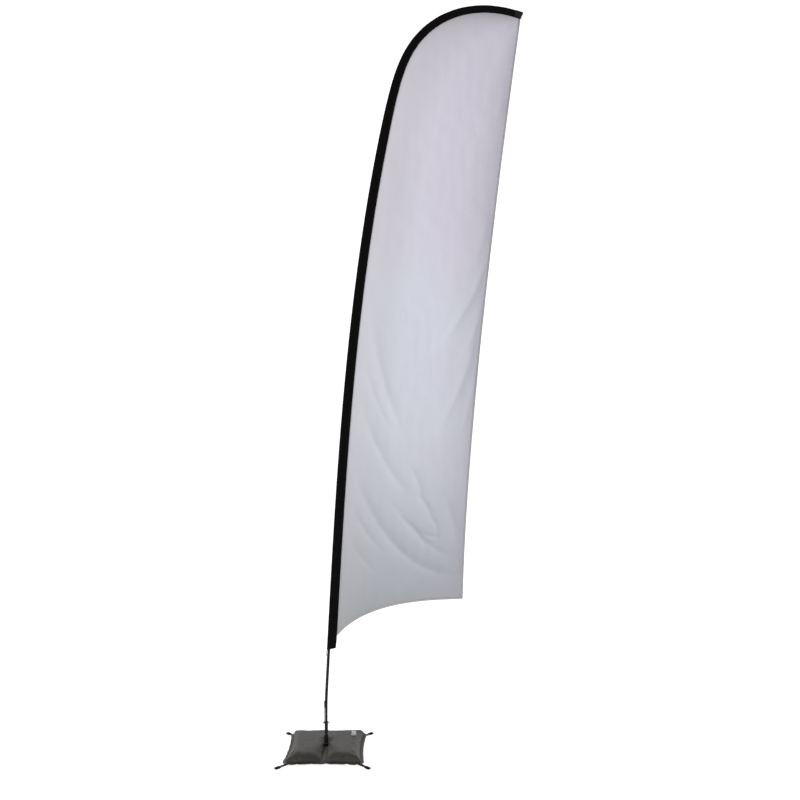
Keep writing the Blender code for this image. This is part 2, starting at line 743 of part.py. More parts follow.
def pole_sizes():
    """(start, end, outer radius, bore radius) of each section, from the foot up."""
    sizes = []
    low = POLE_LOW
    outer = POLE_RADIUS
    for _ in range(TUBE_COUNT):
        bore = outer - POLE_WALL
        high = low + POLE_SECTION_LENGTH
        sizes.append((low - (POLE_PLUG_LENGTH if sizes else 0.0), high, outer, bore))
        low = high + CLEARANCE
        outer = bore - CLEARANCE
    sizes.append((low - POLE_PLUG_LENGTH, TIP_ROD_END, outer, 0.0))
    return sizes


def add_pole(mast):
    """The plugged sections, their ferrules and the tip cap."""
    sizes = pole_sizes()
    for number, (start, end, outer, bore) in enumerate(sizes, 1):
        sides = 16 if number == 1 else 12
        profile = annulus(outer, bore, sides) if bore else outlined(circle(outer, sides))
        swept(f"pole_section_{number}", profile, start, end, "pole_fibre", mast)
        if bore:
            inner = outer + CLEARANCE
            ferrule = annulus(inner + FERRULE_WALL, inner, sides)
            swept(f"pole_ferrule_{number}", ferrule, end - FERRULE_LENGTH, end, "black_steel", mast)
    foot = annulus(FOOT_FERRULE_RADIUS, POLE_RADIUS + CLEARANCE, 24)
    swept("foot_ferrule", foot, POLE_LOW, POLE_LOW + FOOT_FERRULE_LENGTH, "black_steel", mast)
    tip_radius = sizes[-1][2]
    cap_bore = tip_radius + CLEARANCE
    cap_end = TIP_ROD_END + CLEARANCE + TIP_CAP_WALL
    cap = swept(
        "pole_tip_cap",
        outlined(circle(cap_bore + TIP_CAP_WALL, 12)),
        cap_end - TIP_CAP_LENGTH,
        cap_end,
        "black_plastic",
        mast,
    )
    bore = swept(
        "tip_cap_bore",
        outlined(circle(cap_bore, 12)),
        cap_end - TIP_CAP_LENGTH - CUT_OVERRUN,
        TIP_ROD_END + CLEARANCE,
        "black_plastic",
        mast,
    )
    combine(cap, bore)


def add_collar(mast):
    """The collar on the pole with two ears that droop like hooks."""
    inner = POLE_RADIUS + CLEARANCE
    collar = ring("hook_collar", inner, COLLAR_RADIUS, COLLAR_LOW, COLLAR_TOP, "black_plastic", mast)
    root = inner + COLLAR_WALL / 2
    hook_inner = EAR_REACH - EAR_THICKNESS
    arch_run, arch_rise = EAR_ARCH
    bend_run, bend_low, bend_high = EAR_BEND
    crest_run, crest_drop = EAR_CREST
    ear_outline = [
        (root, COLLAR_TOP - EAR_UNDERSIDE),
        (COLLAR_RADIUS + arch_run, COLLAR_TOP - EAR_UNDERSIDE + arch_rise),
        (hook_inner - EAR_FILLET, COLLAR_TOP - EAR_CORD_SEAT),
        (hook_inner, COLLAR_TOP - EAR_DROP),
        (EAR_REACH, COLLAR_TOP - EAR_DROP),
        (EAR_REACH, COLLAR_TOP - bend_low),
        (EAR_REACH - bend_run, COLLAR_TOP - bend_high),
        (COLLAR_RADIUS + crest_run, COLLAR_TOP - crest_drop),
        (root, COLLAR_TOP - EAR_ROOT_DROP),
    ]
    for side, name in ((1, "right_ear"), (-1, "left_ear")):
        outline = [(side * x, -EAR_WIDTH / 2, z) for x, z in ear_outline]
        ear = slab(name, outline, (0.0, EAR_WIDTH, 0.0), "black_plastic", mast)
        combine(collar, ear, "UNION")


def add_ring_curve(name, corners, radius, corner_radius, material, parent):
    """A closed loop of round wire through four corners in one plane, rounded at each."""
    points = []
    count = len(corners)
    for index, corner in enumerate(corners):
        before = (corners[index - 1] - corner).normalized() * corner_radius
        after = (corners[(index + 1) % count] - corner).normalized() * corner_radius
        for step in range(5):
            turn = math.pi / 2 * step / 4
            points.append(corner + before * (1 - math.sin(turn)) + after * (1 - math.cos(turn)))
    data = bpy.data.curves.new(name, "CURVE")
    data.dimensions = "3D"
    data.bevel_depth = radius
    data.bevel_resolution = 2
    spline = data.splines.new("POLY")
    spline.points.add(len(points) - 1)
    for item, point in zip(spline.points, points):
        item.co = (*point, 1.0)
    spline.use_cyclic_u = True
    return add_object(name, data, material, parent)


def add_webbing_eye(name, strip, bar_place, parent):
    """Gives a strip of webbing the folded eye that holds a ring's bar."""
    eye_radius = TETHER_RING_WIRE + CLEARANCE + TETHER_EYE_WALL
    frame = mast_frame(bar_place)
    middle = frame @ Vector((-TETHER_BAR_OFFSET, 0.0, 0.0))
    eye_width = TETHER_WIDTH + 2 * CLEARANCE
    eye = rod(name + "_eye", middle, eye_radius, eye_width, "Y", "webbing", parent)
    bar_hole = TETHER_RING_WIRE + CLEARANCE
    hole = rod(name + "_eye_hole", middle, bar_hole, 2 * TETHER_WIDTH, "Y", "webbing", parent)
    combine(strip, eye, "UNION")
    combine(strip, hole)


def add_tether(mast):
    """The tab, ring, strap, adjuster and cord loop that pull the sleeve down to the collar."""
    upper_bar = TETHER_RING_MIDDLE + TETHER_RING_LENGTH / 2
    lower_bar = TETHER_RING_MIDDLE - TETHER_RING_LENGTH / 2
    tab_end = SLEEVE_START + TETHER_TAB_TUCK
    strip = rectangle(-TETHER_OFFSET, TETHER_THICKNESS, TETHER_WIDTH)
    tab = swept("tether_tab", strip, upper_bar + TETHER_EYE_WALL, tab_end, "webbing", mast)
    add_webbing_eye("tether_tab", tab, upper_bar, mast)
    adjuster_top = ADJUSTER_BOTTOM + ADJUSTER_LENGTH
    strap_end = lower_bar - TETHER_EYE_WALL
    strap = swept("tether_strap", strip, adjuster_top + CLEARANCE, strap_end, "webbing", mast)
    add_webbing_eye("tether_strap", strap, lower_bar, mast)
    half_ring = TETHER_RING_WIDTH / 2
    corners = [
        mast_frame(bar) @ Vector((-TETHER_BAR_OFFSET, side * half_ring, 0.0))
        for bar, side in ((upper_bar, -1), (upper_bar, 1), (lower_bar, 1), (lower_bar, -1))
    ]
    add_ring_curve("tether_ring", corners, TETHER_RING_WIRE, 2 * TETHER_RING_WIRE, "zinc_steel", mast)
    adjuster_inner = POLE_RADIUS + 2 * CLEARANCE
    adjuster = block(
        "tether_adjuster",
        (-adjuster_inner - ADJUSTER_DEPTH, -ADJUSTER_WIDTH / 2, 0.0),
        (-adjuster_inner, ADJUSTER_WIDTH / 2, ADJUSTER_LENGTH),
        "black_plastic",
        mast,
        edge=ADJUSTER_EDGE,
    )
    adjuster.matrix_local = mast_frame(ADJUSTER_BOTTOM)
    cord_hole = TETHER_CORD_RADIUS + CLEARANCE
    cord_top = mast_frame(ADJUSTER_BOTTOM) @ Vector(
        (-adjuster_inner - ADJUSTER_DEPTH / 2, 0.0, 2 * cord_hole)
    )
    hole = rod("cord_hole", cord_top, cord_hole, 2 * ADJUSTER_WIDTH, "Y", "black_plastic", mast)
    combine(adjuster, hole)
    hook_inner = EAR_REACH - EAR_THICKNESS
    arch = COLLAR_TOP - EAR_CORD_SEAT - CLEARANCE - TETHER_CORD_RADIUS
    cord_low = Vector((-(hook_inner + COLLAR_RADIUS) / 2, 0.0, arch))
    half_loop = Vector((0.0, ADJUSTER_WIDTH / 2 + CLEARANCE + TETHER_CORD_RADIUS, 0.0))
    corners = [cord_top - half_loop, cord_top + half_loop, cord_low + half_loop, cord_low - half_loop]
    loop_corner = 1.5 * TETHER_CORD_RADIUS
    add_ring_curve("tether_loop", corners, TETHER_CORD_RADIUS, loop_corner, "webbing", mast)


# ---------------------------------------------------------------- sleeve and flag


def sleeve_outline(inset):
    """The sleeve's section: a round fold about the pole that narrows to a flat double web."""
    radius = SLEEVE_HALF_DEPTH - inset
    middle = SLEEVE_HALF_DEPTH - SLEEVE_NOSE
    fold_angles = [math.radians(angle) for angle in (80, 115, 150, 180, 210, 245, 280)]
    fold = [(middle + radius * math.cos(a), radius * math.sin(a)) for a in fold_angles]
    if not inset:
        web = [(SLEEVE_WEB_START, -SLEEVE_WALL), (seam_offset(0.0), -SLEEVE_WALL)]
        return [*fold, *web, *[(x, -y) for x, y in reversed(web)]]
    end = (SLEEVE_WEB_START - 3 * inset, -inset / 6)
    side = ((fold[-1][0] + end[0]) / 2, (fold[-1][1] + end[1]) / 2)
    return [*fold, side, end, (end[0], -end[1]), (side[0], -side[1])]


def add_sleeve(mast):
    """The pole sleeve, open at the bottom, and the patch that closes its tip."""
    outer = sleeve_outline(0.0)
    tube = walled(outer, sleeve_outline(SLEEVE_WALL))
    swept("sleeve", tube, SLEEVE_START, SLEEVE_END, "sleeve_cloth", mast, sleeve_frame)
    patch_start = SLEEVE_END + CLEARANCE
    swept("sleeve_end_patch", outlined(outer), patch_start, MAST_LENGTH, "webbing", mast, sleeve_frame)
    tape = rectangle(CLEARANCE + TAPE_WIDTH / 2, TAPE_WIDTH, TAPE_THICKNESS)
    swept("luff_tape", tape, FLAG_START, SLEEVE_END, "flag_cloth", mast, seam_frame)


def luff_point(along):
    """Where the flag cloth begins beside the tape."""
    return seam_frame(along) @ Vector((2 * CLEARANCE + TAPE_WIDTH, 0.0, 0.0))


def bowed_edge(start, pull, end, count):
    """(point, inward normal) pairs along a quadratic curve, with the cloth on its left."""
    pairs = []
    for index in range(count + 1):
        share = index / count
        point = start * (1 - share) ** 2 + pull * 2 * share * (1 - share) + end * share**2
        tangent = (pull - start) * (1 - share) + (end - pull) * share
        pairs.append((point, Vector((-tangent.z, 0.0, tangent.x)).normalized()))
    return pairs


def flag_slab(name, outline, thickness, mast):
    """A flat piece of cloth, centred on the flag's plane."""
    half = Vector((0.0, thickness / 2, 0.0))
    slab(name, [point - half for point in outline], 2 * half, "flag_cloth", mast)


def right_of_luff(point):
    """Whether a point near the foot of the flag is clear of the tape."""
    low = luff_point(FLAG_START)
    high = luff_point(FLAG_START + FOOT_STRETCH)
    luff_x = low.x + (high.x - low.x) * (point.z - low.z) / (high.z - low.z)
    return point.x > luff_x + CLEARANCE


def add_flag(mast):
    """The flag's cloth, and the hems along its free edge and its bottom edge."""
    corner = Vector((FLAG_CORNER[0], 0.0, FLAG_CORNER[1]))
    head = luff_point(SLEEVE_END)
    foot = luff_point(FLAG_START)
    leech_pull = corner + Vector((LEECH_PULL[0], 0.0, LEECH_PULL[1] * (head.z - corner.z)))
    foot_pull = foot + Vector((FOOT_PULL[0] * (corner.x - foot.x), 0.0, FOOT_PULL[1] * (corner.z - foot.z)))
    leech = bowed_edge(corner, leech_pull, head, 16)
    bottom = bowed_edge(foot, foot_pull, corner, 16)
    leech_hem = [point for point, _ in leech] + [point + side * HEM_WIDTH for point, side in reversed(leech)]
    flag_slab("leech_hem", leech_hem, HEM_THICKNESS, mast)
    inset = HEM_WIDTH + CLEARANCE
    leech_x = corner.x - inset
    under = [point for point, _ in bottom if point.x < leech_x]
    under.append(Vector((leech_x, 0.0, corner.z)))
    over = [point + side * HEM_WIDTH for point, side in bottom]
    over = [point for point in over if point.x < leech_x and right_of_luff(point)]
    over.append(Vector((leech_x, 0.0, corner.z + HEM_WIDTH)))
    flag_slab("bottom_hem", under + over[::-1], HEM_THICKNESS, mast)
    low_edge = [point + side * inset for point, side in bottom]
    low_edge = [point for point in low_edge if point.x < leech_x and right_of_luff(point)]
    free_edge = [point + side * inset for point, side in leech]
    free_edge = [point for point in free_edge if point.z > corner.z + inset]
    low_edge.append(Vector((leech_x, 0.0, corner.z + inset)))
    luff_low = FLAG_START + low_edge[0].z - foot.z
    luff_high = SLEEVE_END - HEAD_CLEARANCE_SHARE * inset
    luff = [luff_point(along) for along in places_between(luff_low, luff_high)]
    flag_slab("flag_panel", low_edge + free_edge + luff[::-1], FLAG_THICKNESS, mast)


# ---------------------------------------------------------------- water bag


def bag_outline():
    """The bag's plan: a square with hollowed sides and blunt corners."""
    half = BAG_WIDTH / 2
    side_points = 6
    outline = []
    for turn in range(4):
        rotation = Matrix.Rotation(turn * math.pi / 2, 3, "Z")
        start = BAG_CORNER_CUT - half
        for index in range(side_points + 1):
            x = start - 2 * start * index / side_points
            hollow = BAG_SIDE_HOLLOW * (1 - (x / half) ** 2)
            outline.append(rotation @ Vector((x, hollow - half, BAG_LOW)))
    return outline


def add_slit(piece, name, low, bag):
    """Cuts the way from the centre hole out through the front edge."""
    half = BAG_SLIT_WIDTH / 2
    slit = block(name, (-half, -BAG_WIDTH, low), (half, 0.0, 2 * BAG_TOP), "bag_sheet", bag)
    combine(piece, slit)


def add_bag(bag):
    """The full bag and the stiff welded ring round its centre hole."""
    bm = bmesh.new()
    face = loop_face(bm, bag_outline())
    top = [face]
    half = BAG_WIDTH / 2
    for inset, rise in ((0.0, BAG_RIM_HEIGHT), *BAG_SHOULDERS):
        top, verts = extrude(bm, top)
        share = (half - inset) / half
        bmesh.ops.scale(bm, vec=(share, share, 1.0), verts=verts)
        bmesh.ops.translate(bm, vec=(0.0, 0.0, rise), verts=verts)
        half -= inset
    water_bag = finish("water_bag", bm, "bag_sheet", bag)
    for name, radius, low in (
        ("bag_hole", BAG_HOLE_RADIUS, 0.0),
        ("bag_dimple", BAG_DIMPLE_RADIUS, DIMPLE_FLOOR),
    ):
        middle = (0.0, 0.0, (low + 2 * BAG_TOP) / 2)
        hole = rod(name, middle, radius, 2 * BAG_TOP - low, "Z", "bag_sheet", bag, sides=24)
        combine(water_bag, hole)
    add_slit(water_bag, "bag_slit", 0.0, bag)
    ring_low = DIMPLE_FLOOR + CLEARANCE
    ring_high = ring_low + HOLE_RING_THICKNESS
    inner = BAG_HOLE_RADIUS + CLEARANCE
    hole_ring = ring(
        "hole_ring", inner, inner + HOLE_RING_WIDTH, ring_low, ring_high, "bag_sheet", bag, sides=32
    )
    add_slit(hole_ring, "ring_slit", 0.0, bag)


def add_filler(bag):
    """The filler neck with its sealing disc and screw cap, each on its own joint."""
    place = Vector((*FILLER_PLACE, FILLER_LOW))
    neck_axis = add_axis("filler_neck_axis", place, bag)
    rise_axis = add_axis("cap_rise_axis", place, bag)
    turn_axis = add_axis("cap_turn_axis", (0.0, 0.0, 0.0), rise_axis)
    bore = FILLER_NECK_RADIUS - FILLER_NECK_WALL
    neck_top = FILLER_FLANGE_THICKNESS + FILLER_NECK_HEIGHT
    ridge_radius = FILLER_NECK_RADIUS + FILLER_RIDGE
    ridge_pitch = FILLER_NECK_HEIGHT / 3
    foot_share, crest_share = FILLER_RIDGE_SHARES
    outline = [(bore, neck_top), (FILLER_NECK_RADIUS, neck_top)]
    for index in range(1, 3):
        middle = neck_top - index * ridge_pitch
        outline += [
            (FILLER_NECK_RADIUS, middle + foot_share * ridge_pitch),
            (ridge_radius, middle + crest_share * ridge_pitch),
            (ridge_radius, middle - crest_share * ridge_pitch),
            (FILLER_NECK_RADIUS, middle - foot_share * ridge_pitch),
        ]
    outline += [
        (FILLER_NECK_RADIUS, FILLER_FLANGE_THICKNESS),
        (FILLER_FLANGE_RADIUS, FILLER_FLANGE_THICKNESS),
        (FILLER_FLANGE_RADIUS, 0.0),
        (bore, 0.0),
    ]
    turned("filler_neck", outline, "white_plastic", neck_axis, sides=20)
    seal_low = neck_top + CLEARANCE
    seal_high = seal_low + SEAL_THICKNESS
    seal = (0.0, 0.0, (seal_low + seal_high) / 2)
    rod("cap_seal", seal, FILLER_NECK_RADIUS, SEAL_THICKNESS, "Z", "black_rubber", rise_axis, sides=24)
    cap_bore = ridge_radius + CLEARANCE
    cap_radius = cap_bore + FILLER_CAP_WALL
    ceiling = seal_high + CLEARANCE
    cap_top = ceiling + FILLER_CAP_TOP
    cap_low = FILLER_FLANGE_THICKNESS + CLEARANCE
    recess_radius, recess_depth = FILLER_CAP_RECESS
    outline = [
        (0.0, cap_top - recess_depth),
        (recess_radius, cap_top - recess_depth),
        (recess_radius, cap_top),
        (cap_radius - FILLER_CAP_EDGE, cap_top),
        (cap_radius, cap_top - FILLER_CAP_EDGE),
        (cap_radius, cap_low),
        (cap_bore, cap_low),
        (cap_bore, ceiling),
        (0.0, ceiling),
    ]
    turned("filler_cap", outline, "white_plastic", turn_axis, sides=32)


def main():
    """Builds every piece under the empty of the joint that moves it."""
    for item in list(bpy.data.objects):
        bpy.data.objects.remove(item, do_unlink=True)
    MATERIALS.update(make_materials())
    base = add_axis("base_origin")
    fold_axis = add_axis("leg_fold_axis", parent=base)
    turn_axis = add_axis("spindle_turn_axis", parent=base)
    mast = add_axis("mast_lift_axis", parent=turn_axis)
    bag = add_axis("bag_slide_axis", parent=base)
    add_lower_leg(base)
    add_upper_leg(fold_axis)
    add_pivot(base)
    add_housing(base)
    add_bearing("lower_bearing", LOWER_BEARING_LOW, base, turn_axis)
    add_bearing("upper_bearing", UPPER_BEARING_LOW, base, turn_axis)
    clip_outer = HOUSING_BORE + CLIP_SEAT
    add_clip("housing_clip", clip_outer - CLIP_WALL, clip_outer, HOUSING_CLIP_LOW, base)
    add_spindle(turn_axis)
    add_pole(mast)
    add_collar(mast)
    add_tether(mast)
    add_sleeve(mast)
    add_flag(mast)
    add_bag(bag)
    add_filler(bag)


main()
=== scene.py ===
"""The looks of a feather flag: its cloth, its sleeve and pole, and its weighted cross base.

Metres, +Z up. The flag lies in the XZ plane and reaches towards +X; the bag's slit opens
towards -Y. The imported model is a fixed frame, and every new piece rides on one of its bodies.
"""

import json
import math

import bmesh
import bpy
import numpy as np
from bpy.props import FloatProperty, FloatVectorProperty, IntProperty, PointerProperty
from mathutils import Matrix, Vector


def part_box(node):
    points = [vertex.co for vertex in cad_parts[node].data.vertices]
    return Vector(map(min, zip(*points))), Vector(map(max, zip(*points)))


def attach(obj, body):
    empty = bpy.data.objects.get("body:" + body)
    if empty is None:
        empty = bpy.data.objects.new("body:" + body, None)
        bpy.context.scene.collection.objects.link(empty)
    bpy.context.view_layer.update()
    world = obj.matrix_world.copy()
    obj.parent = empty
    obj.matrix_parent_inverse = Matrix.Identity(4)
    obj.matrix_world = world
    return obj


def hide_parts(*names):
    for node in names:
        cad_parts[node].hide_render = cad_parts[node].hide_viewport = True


bl_info = {
    "name": "Feather Flag with Pole",
    "version": (1, 0, 0),
    "blender": (4, 5, 0),
    "location": "View3D > Sidebar > Feather Flag",
    "description": "Builds the looks of a feather flag, its pole and its weighted base",
    "category": "Object",
}

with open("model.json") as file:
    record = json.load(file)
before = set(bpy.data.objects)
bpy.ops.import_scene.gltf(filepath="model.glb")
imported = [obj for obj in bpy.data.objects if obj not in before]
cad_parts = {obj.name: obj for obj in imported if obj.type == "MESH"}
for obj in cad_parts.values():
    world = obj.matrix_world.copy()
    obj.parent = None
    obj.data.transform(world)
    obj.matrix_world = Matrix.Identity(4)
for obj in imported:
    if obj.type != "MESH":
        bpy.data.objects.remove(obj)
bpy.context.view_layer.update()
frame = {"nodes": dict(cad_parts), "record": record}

# The mast line: upright on the spindle, a slight lean, then the bend of the thin tip section
MAST_LENGTH = 5.072
LEAN_START = 0.240
LEAN_LENGTH = 0.140
LEAN_AT_FOOT = math.radians(3.07)
LEAN_GROWTH_START = 0.600
LEAN_GROWTH = 0.0298
TIP_BEND_LENGTH = 0.904
TIP_CURVATURE = 2.075
TIP_BEND_RAMP = 0.094
TIP_FADE = 0.50
LINE_STEP = 0.002

# Sleeve and flag, as the frame has them
SLEEVE_START = 0.613
SLEEVE_END = 5.0687
SLEEVE_WIDTH = 0.057
SLEEVE_NOSE = 0.0125
SLEEVE_HALF_DEPTH = 0.0115
SLEEVE_TAPER_START = 3.700
SLEEVE_TIP_SHARE = 0.73
FLAG_START = 0.700
FLAG_CORNER = (0.8224, 0.920)
LEECH_PULL = (0.0306, 0.346)
FOOT_PULL = (0.230, 1.03)
TAPE_WIDTH = 0.004
GAP = 0.0003
RING_WIDTH = 0.007
FILLER_PLACE = tuple((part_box("filler_neck")[0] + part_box("filler_neck")[1]).xy / 2)
HOLE_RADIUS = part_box("hole_ring")[1].x - RING_WIDTH

# X and Z, the two axes of the flag's plane, and a length too small to matter
FLAT = [0, 2]
TINY = 1e-6


def distance(name, description, default):
    """A length that can be changed in the sidebar."""
    return FloatProperty(name=name, description=description, default=default, unit="LENGTH", precision=4)


def colour(name, description, default):
    """A finish's main colour."""
    return FloatVectorProperty(
        name=name, description=description, default=default, size=3, min=0.0, max=1.0, subtype="COLOR"
    )


class ClothSizes(bpy.types.PropertyGroup):
    """Sizes of the flag's cloth and of its sleeve."""

    belly: distance("Belly", "How far the wind-filled cloth stands off its own plane", 0.034)
    luff_curl: distance("Luff curl", "Width over which the cloth leaves the sleeve's plane", 0.055)
    leech_curl: distance("Leech curl", "How far the free edge curls back", 0.022)
    fold_scale: FloatProperty(
        name="Folds", description="Height of the folds against their usual one", default=1.2
    )
    cloth_thickness: distance("Cloth thickness", "Thickness of the flag's knitted cloth", 0.0004)
    hem_width: distance("Hem width", "Width of the turned hems", 0.012)
    hem_thickness: distance("Hem thickness", "Thickness of the folded hem", 0.0014)
    stitch_pitch: distance("Stitch pitch", "Distance between stitches", 0.0045)
    pucker: distance("Sleeve puckers", "Height of the sleeve's small creases", 0.0007)


class BagSizes(bpy.types.PropertyGroup):
    """Sizes of the water bag."""

    flange_width: distance("Flange width", "Width of the flat welded rim", 0.013)
    shoulder: distance("Shoulder", "How far in from the rim the bag reaches its full height", 0.066)
    sheet_thickness: distance("Sheet thickness", "Thickness of the coated sheet", 0.0010)
    pressure: FloatProperty(
        name="Pressure", description="Pressure that swells the bag's sheet", default=4.0
    )
    swell_limit: distance("Swell limit", "The most that a point of the sheet may move", 0.006)
    voxel: distance("Mesh size", "Size of the bag's mesh before it is smoothed", 0.005)


class FinishColours(bpy.types.PropertyGroup):
    """Main colours of the finishes."""

    flag: colour("Flag", "Plain pale cloth of the flag", (0.672, 0.636, 0.735))
    sleeve: colour("Sleeve", "Black cloth of the pole sleeve", (0.0036, 0.0034, 0.0034))
    bag: colour("Bag", "Grey-brown coated sheet of the water bag", (0.053, 0.047, 0.041))
    steel: colour("Painted steel", "Black paint of the legs and the housing", (0.008, 0.008, 0.009))
    cap: colour("Filler cap", "White plastic of the filler", (0.80, 0.80, 0.78))


class StageSizes(bpy.types.PropertyGroup):
    """The camera and the light."""

    distance: distance("Distance", "How far the camera stands before the flag's plane", 5.3)
    height: distance("Height", "Height of the camera", 2.117)
    side: distance("Side", "How far the camera stands to the flag's side of the mast", 0.445)
    lens: FloatProperty(name="Lens", description="Focal length in millimetres", default=39.5)
    key: FloatProperty(
        name="Key light", description="Power of the main light", default=195.0, subtype="POWER"
    )
    sky: FloatProperty(name="Sky", description="Strength of the even light all round", default=0.12)


class FeatherFlagSettings(bpy.types.PropertyGroup):
    """Everything that can be set before the flag is built."""

    cloth: PointerProperty(type=ClothSizes)
    bag: PointerProperty(type=BagSizes)
    colours: PointerProperty(type=FinishColours)
    stage: PointerProperty(type=StageSizes)
    turned_sides: IntProperty(name="Sides", description="Sides of a turned piece", default=64, min=12)


def settings():
    """The scene's settings for this flag."""
    return bpy.context.scene.feather_flag


# ---------------------------------------------------------------- finishes


class Value:
    """A node's output. Arithmetic on it adds Math nodes to its finish."""

    def __init__(self, finish, socket):
        self.finish = finish
        self.socket = socket

    def math(self, operation, *others):
        """A Math node with this value first."""
        return self.finish.calculate(operation, self, *others)

    def __add__(self, other):
        return self.math("ADD", other)

    def __mul__(self, other):
        return self.math("MULTIPLY", other)

    def __sub__(self, other):
        return self.math("SUBTRACT", other)

    def __pow__(self, other):
        return self.math("POWER", other)

    def sine(self):
        """The sine of this value."""
        return self.math("SINE")


class Finish:
    """A material built round its Principled shader."""

    def __init__(self, name, base, roughness, **constants):
        self.material = bpy.data.materials.new(name)
        self.material.use_nodes = True
        self.material.diffuse_color = (*base, 1.0)
        self.tree = self.material.node_tree
        self.shader = self.tree.nodes["Principled BSDF"]
        self.base = (*base, 1.0)
        self.set("Base Color", self.base)
        self.set("Roughness", roughness)
        for socket, value in constants.items():
            self.set(socket.replace("_", " ").title().replace("Ior", "IOR"), value)

    def node(self, kind, options=None, inputs=None, output=0):
        """Adds a node, sets its options and feeds its sockets."""
        made = self.tree.nodes.new(kind)
        for name, value in (options or {}).items():
            setattr(made, name, value)
        for name, value in (inputs or {}).items():
            self.feed(made.inputs[name], value)
        return Value(self, made.outputs[output])

    def feed(self, socket, value):
        """Links a value to a socket, or sets the socket to a plain number or colour."""
        if isinstance(value, Value):
            self.tree.links.new(value.socket, socket)
        else:
            socket.default_value = value

    def set(self, socket, value):
        """Feeds a socket of the Principled shader."""
        self.feed(self.shader.inputs[socket], value)

    def calculate(self, operation, *numbers):
        """A Math node."""
        return self.node("ShaderNodeMath", {"operation": operation}, dict(enumerate(numbers)))

    def place(self):
        """Object coordinates, in metres."""
        return self.node("ShaderNodeTexCoord", output="Object")

    def surface(self):
        """The piece's own UV map, in metres along its surface."""
        return self.node("ShaderNodeTexCoord", output="UV")

    def axes(self, vector):
        """The three components of a vector."""
        split = self.tree.nodes.new("ShaderNodeSeparateXYZ")
        self.feed(split.inputs[0], vector)
        return [Value(self, item) for item in split.outputs]

    def stretched(self, vector, scale):
        """A vector scaled along each axis."""
        return self.node("ShaderNodeMapping", None, {"Vector": vector, "Scale": scale})

    def noise(self, vector, scale, detail=3.0, roughness=0.5):
        """Cloudy noise, about one half on average."""
        inputs = {"Vector": vector, "Scale": scale, "Detail": detail, "Roughness": roughness}
        return self.node("ShaderNodeTexNoise", None, inputs)

    def spread(self, value, low, high, to_low=0.0, to_high=1.0):
        """Maps a range of values to another one, and stops at its ends."""
        inputs = {"Value": value, "From Min": low, "From Max": high, "To Min": to_low, "To Max": to_high}
        return self.node("ShaderNodeMapRange", None, inputs)

    def mix(self, factor, first, second):
        """A blend of two colours."""
        options = {"data_type": "RGBA"}
        return self.node("ShaderNodeMix", options, {0: factor, 6: first, 7: second}, output=2)

    def toned(self, factor, first, second):
        """Feeds the base colour a blend of two colours."""
        self.set("Base Color", self.mix(factor, first, second))

    def tint(self, amount):
        """The base colour, darker below 1 and lighter above it."""
        return tuple(min(part * amount, 1.0) for part in self.base[:3]) + (1.0,)

    def bump(self, height, depth):
        """Roughens the surface by a height field whose full range is depth metres."""
        self.set("Normal", self.node("ShaderNodeBump", None, {"Distance": depth, "Height": height}))


# Distance between threads, ribs or bands
KNIT_PITCH = 0.0011
OXFORD_PITCH = 0.0009
WEBBING_RIB_PITCH = 0.0014
WEBBING_PICK_PITCH = 0.0012
BRAID_PITCH = 0.0016
SCRIM_PITCH = 0.0026
WELD_RIB_PITCH = 0.003
FIBRE_BAND_PITCH = 0.03


def weave_height(finish, vector, pitch, first="X", second="Y"):
    """A plain weave's height: threads that pass over and under each other."""
    named = dict(zip("XYZ", finish.axes(vector)))
    turns = math.tau / pitch
    warp = (named[first] * turns).sine()
    weft = (named[second] * turns).sine()
    return warp * weft * 0.5 + 0.5


def flag_finish():
    """Pale knitted polyester with a faint lavender cast, cooler towards its foot, with painted shade that
    darkens it towards its foot and along both side edges.
    """
    colours = settings().colours
    finish = Finish("flag_cloth_finish", colours.flag, 0.78, sheen_weight=0.12, sheen_roughness=0.5)
    cool_white = (0.665, 0.678, 0.762, 1.0)
    painted_foot_shade = (0.33, 0.345, 0.365, 1.0)
    painted_sleeve_side_shade = (0.43, 0.42, 0.41, 1.0)
    painted_free_edge_shade = (0.44, 0.43, 0.48, 1.0)
    place = finish.place()
    clouds = finish.noise(finish.stretched(place, (1.0, 1.0, 0.45)), 2.2, 3.0)
    streaks = finish.noise(finish.stretched(place, (9.0, 1.0, 1.2)), 3.0, 4.0, 0.6)
    _, _, height = finish.axes(place)
    across, _, _ = finish.axes(finish.surface())
    across = across + clouds * 0.06 - 0.03
    cloth = finish.mix(finish.spread(clouds - height * 0.2, -0.2, 0.05), finish.base, cool_white)
    # Painted shade: the cloth turns darker towards its foot, as if the light fell from above.
    cloth = finish.mix(finish.spread(height, 0.75, 2.3, 1.0, 0.0) ** 1.6, cloth, painted_foot_shade)
    # Painted shade: darker bands along the sleeve side and the free edge, where the bellied cloth turns away
    # from the light.
    cloth = finish.mix(finish.spread(across, 0.0, 0.30, 0.45, 0.0), cloth, painted_sleeve_side_shade)
    cloth = finish.mix(finish.spread(across, 0.55, 0.80, 0.0, 0.45), cloth, painted_free_edge_shade)
    finish.toned(finish.spread(streaks, 0.56, 0.8, 0.0, 0.25), cloth, finish.tint(0.84))
    knit = weave_height(finish, place, KNIT_PITCH, "X", "Z")
    finish.bump(knit * 0.7 + streaks * 0.3, 0.00012)
    finish.set("Roughness", finish.spread(streaks, 0.3, 0.7, 0.70, 0.86))
    return finish.material


def hem_finish():
    """The flag's cloth folded double, a little denser and duller."""
    finish = Finish("hem_finish", (0.43, 0.41, 0.44), 0.8, sheen_weight=0.05)
    knit = weave_height(finish, finish.surface(), KNIT_PITCH)
    wear = finish.noise(finish.place(), 40.0)
    finish.toned(finish.spread(wear, 0.4, 0.7, 0.0, 0.5), finish.base, finish.tint(0.86))
    finish.bump(knit * 0.6 + wear * 0.4, 0.0002)
    return finish.material


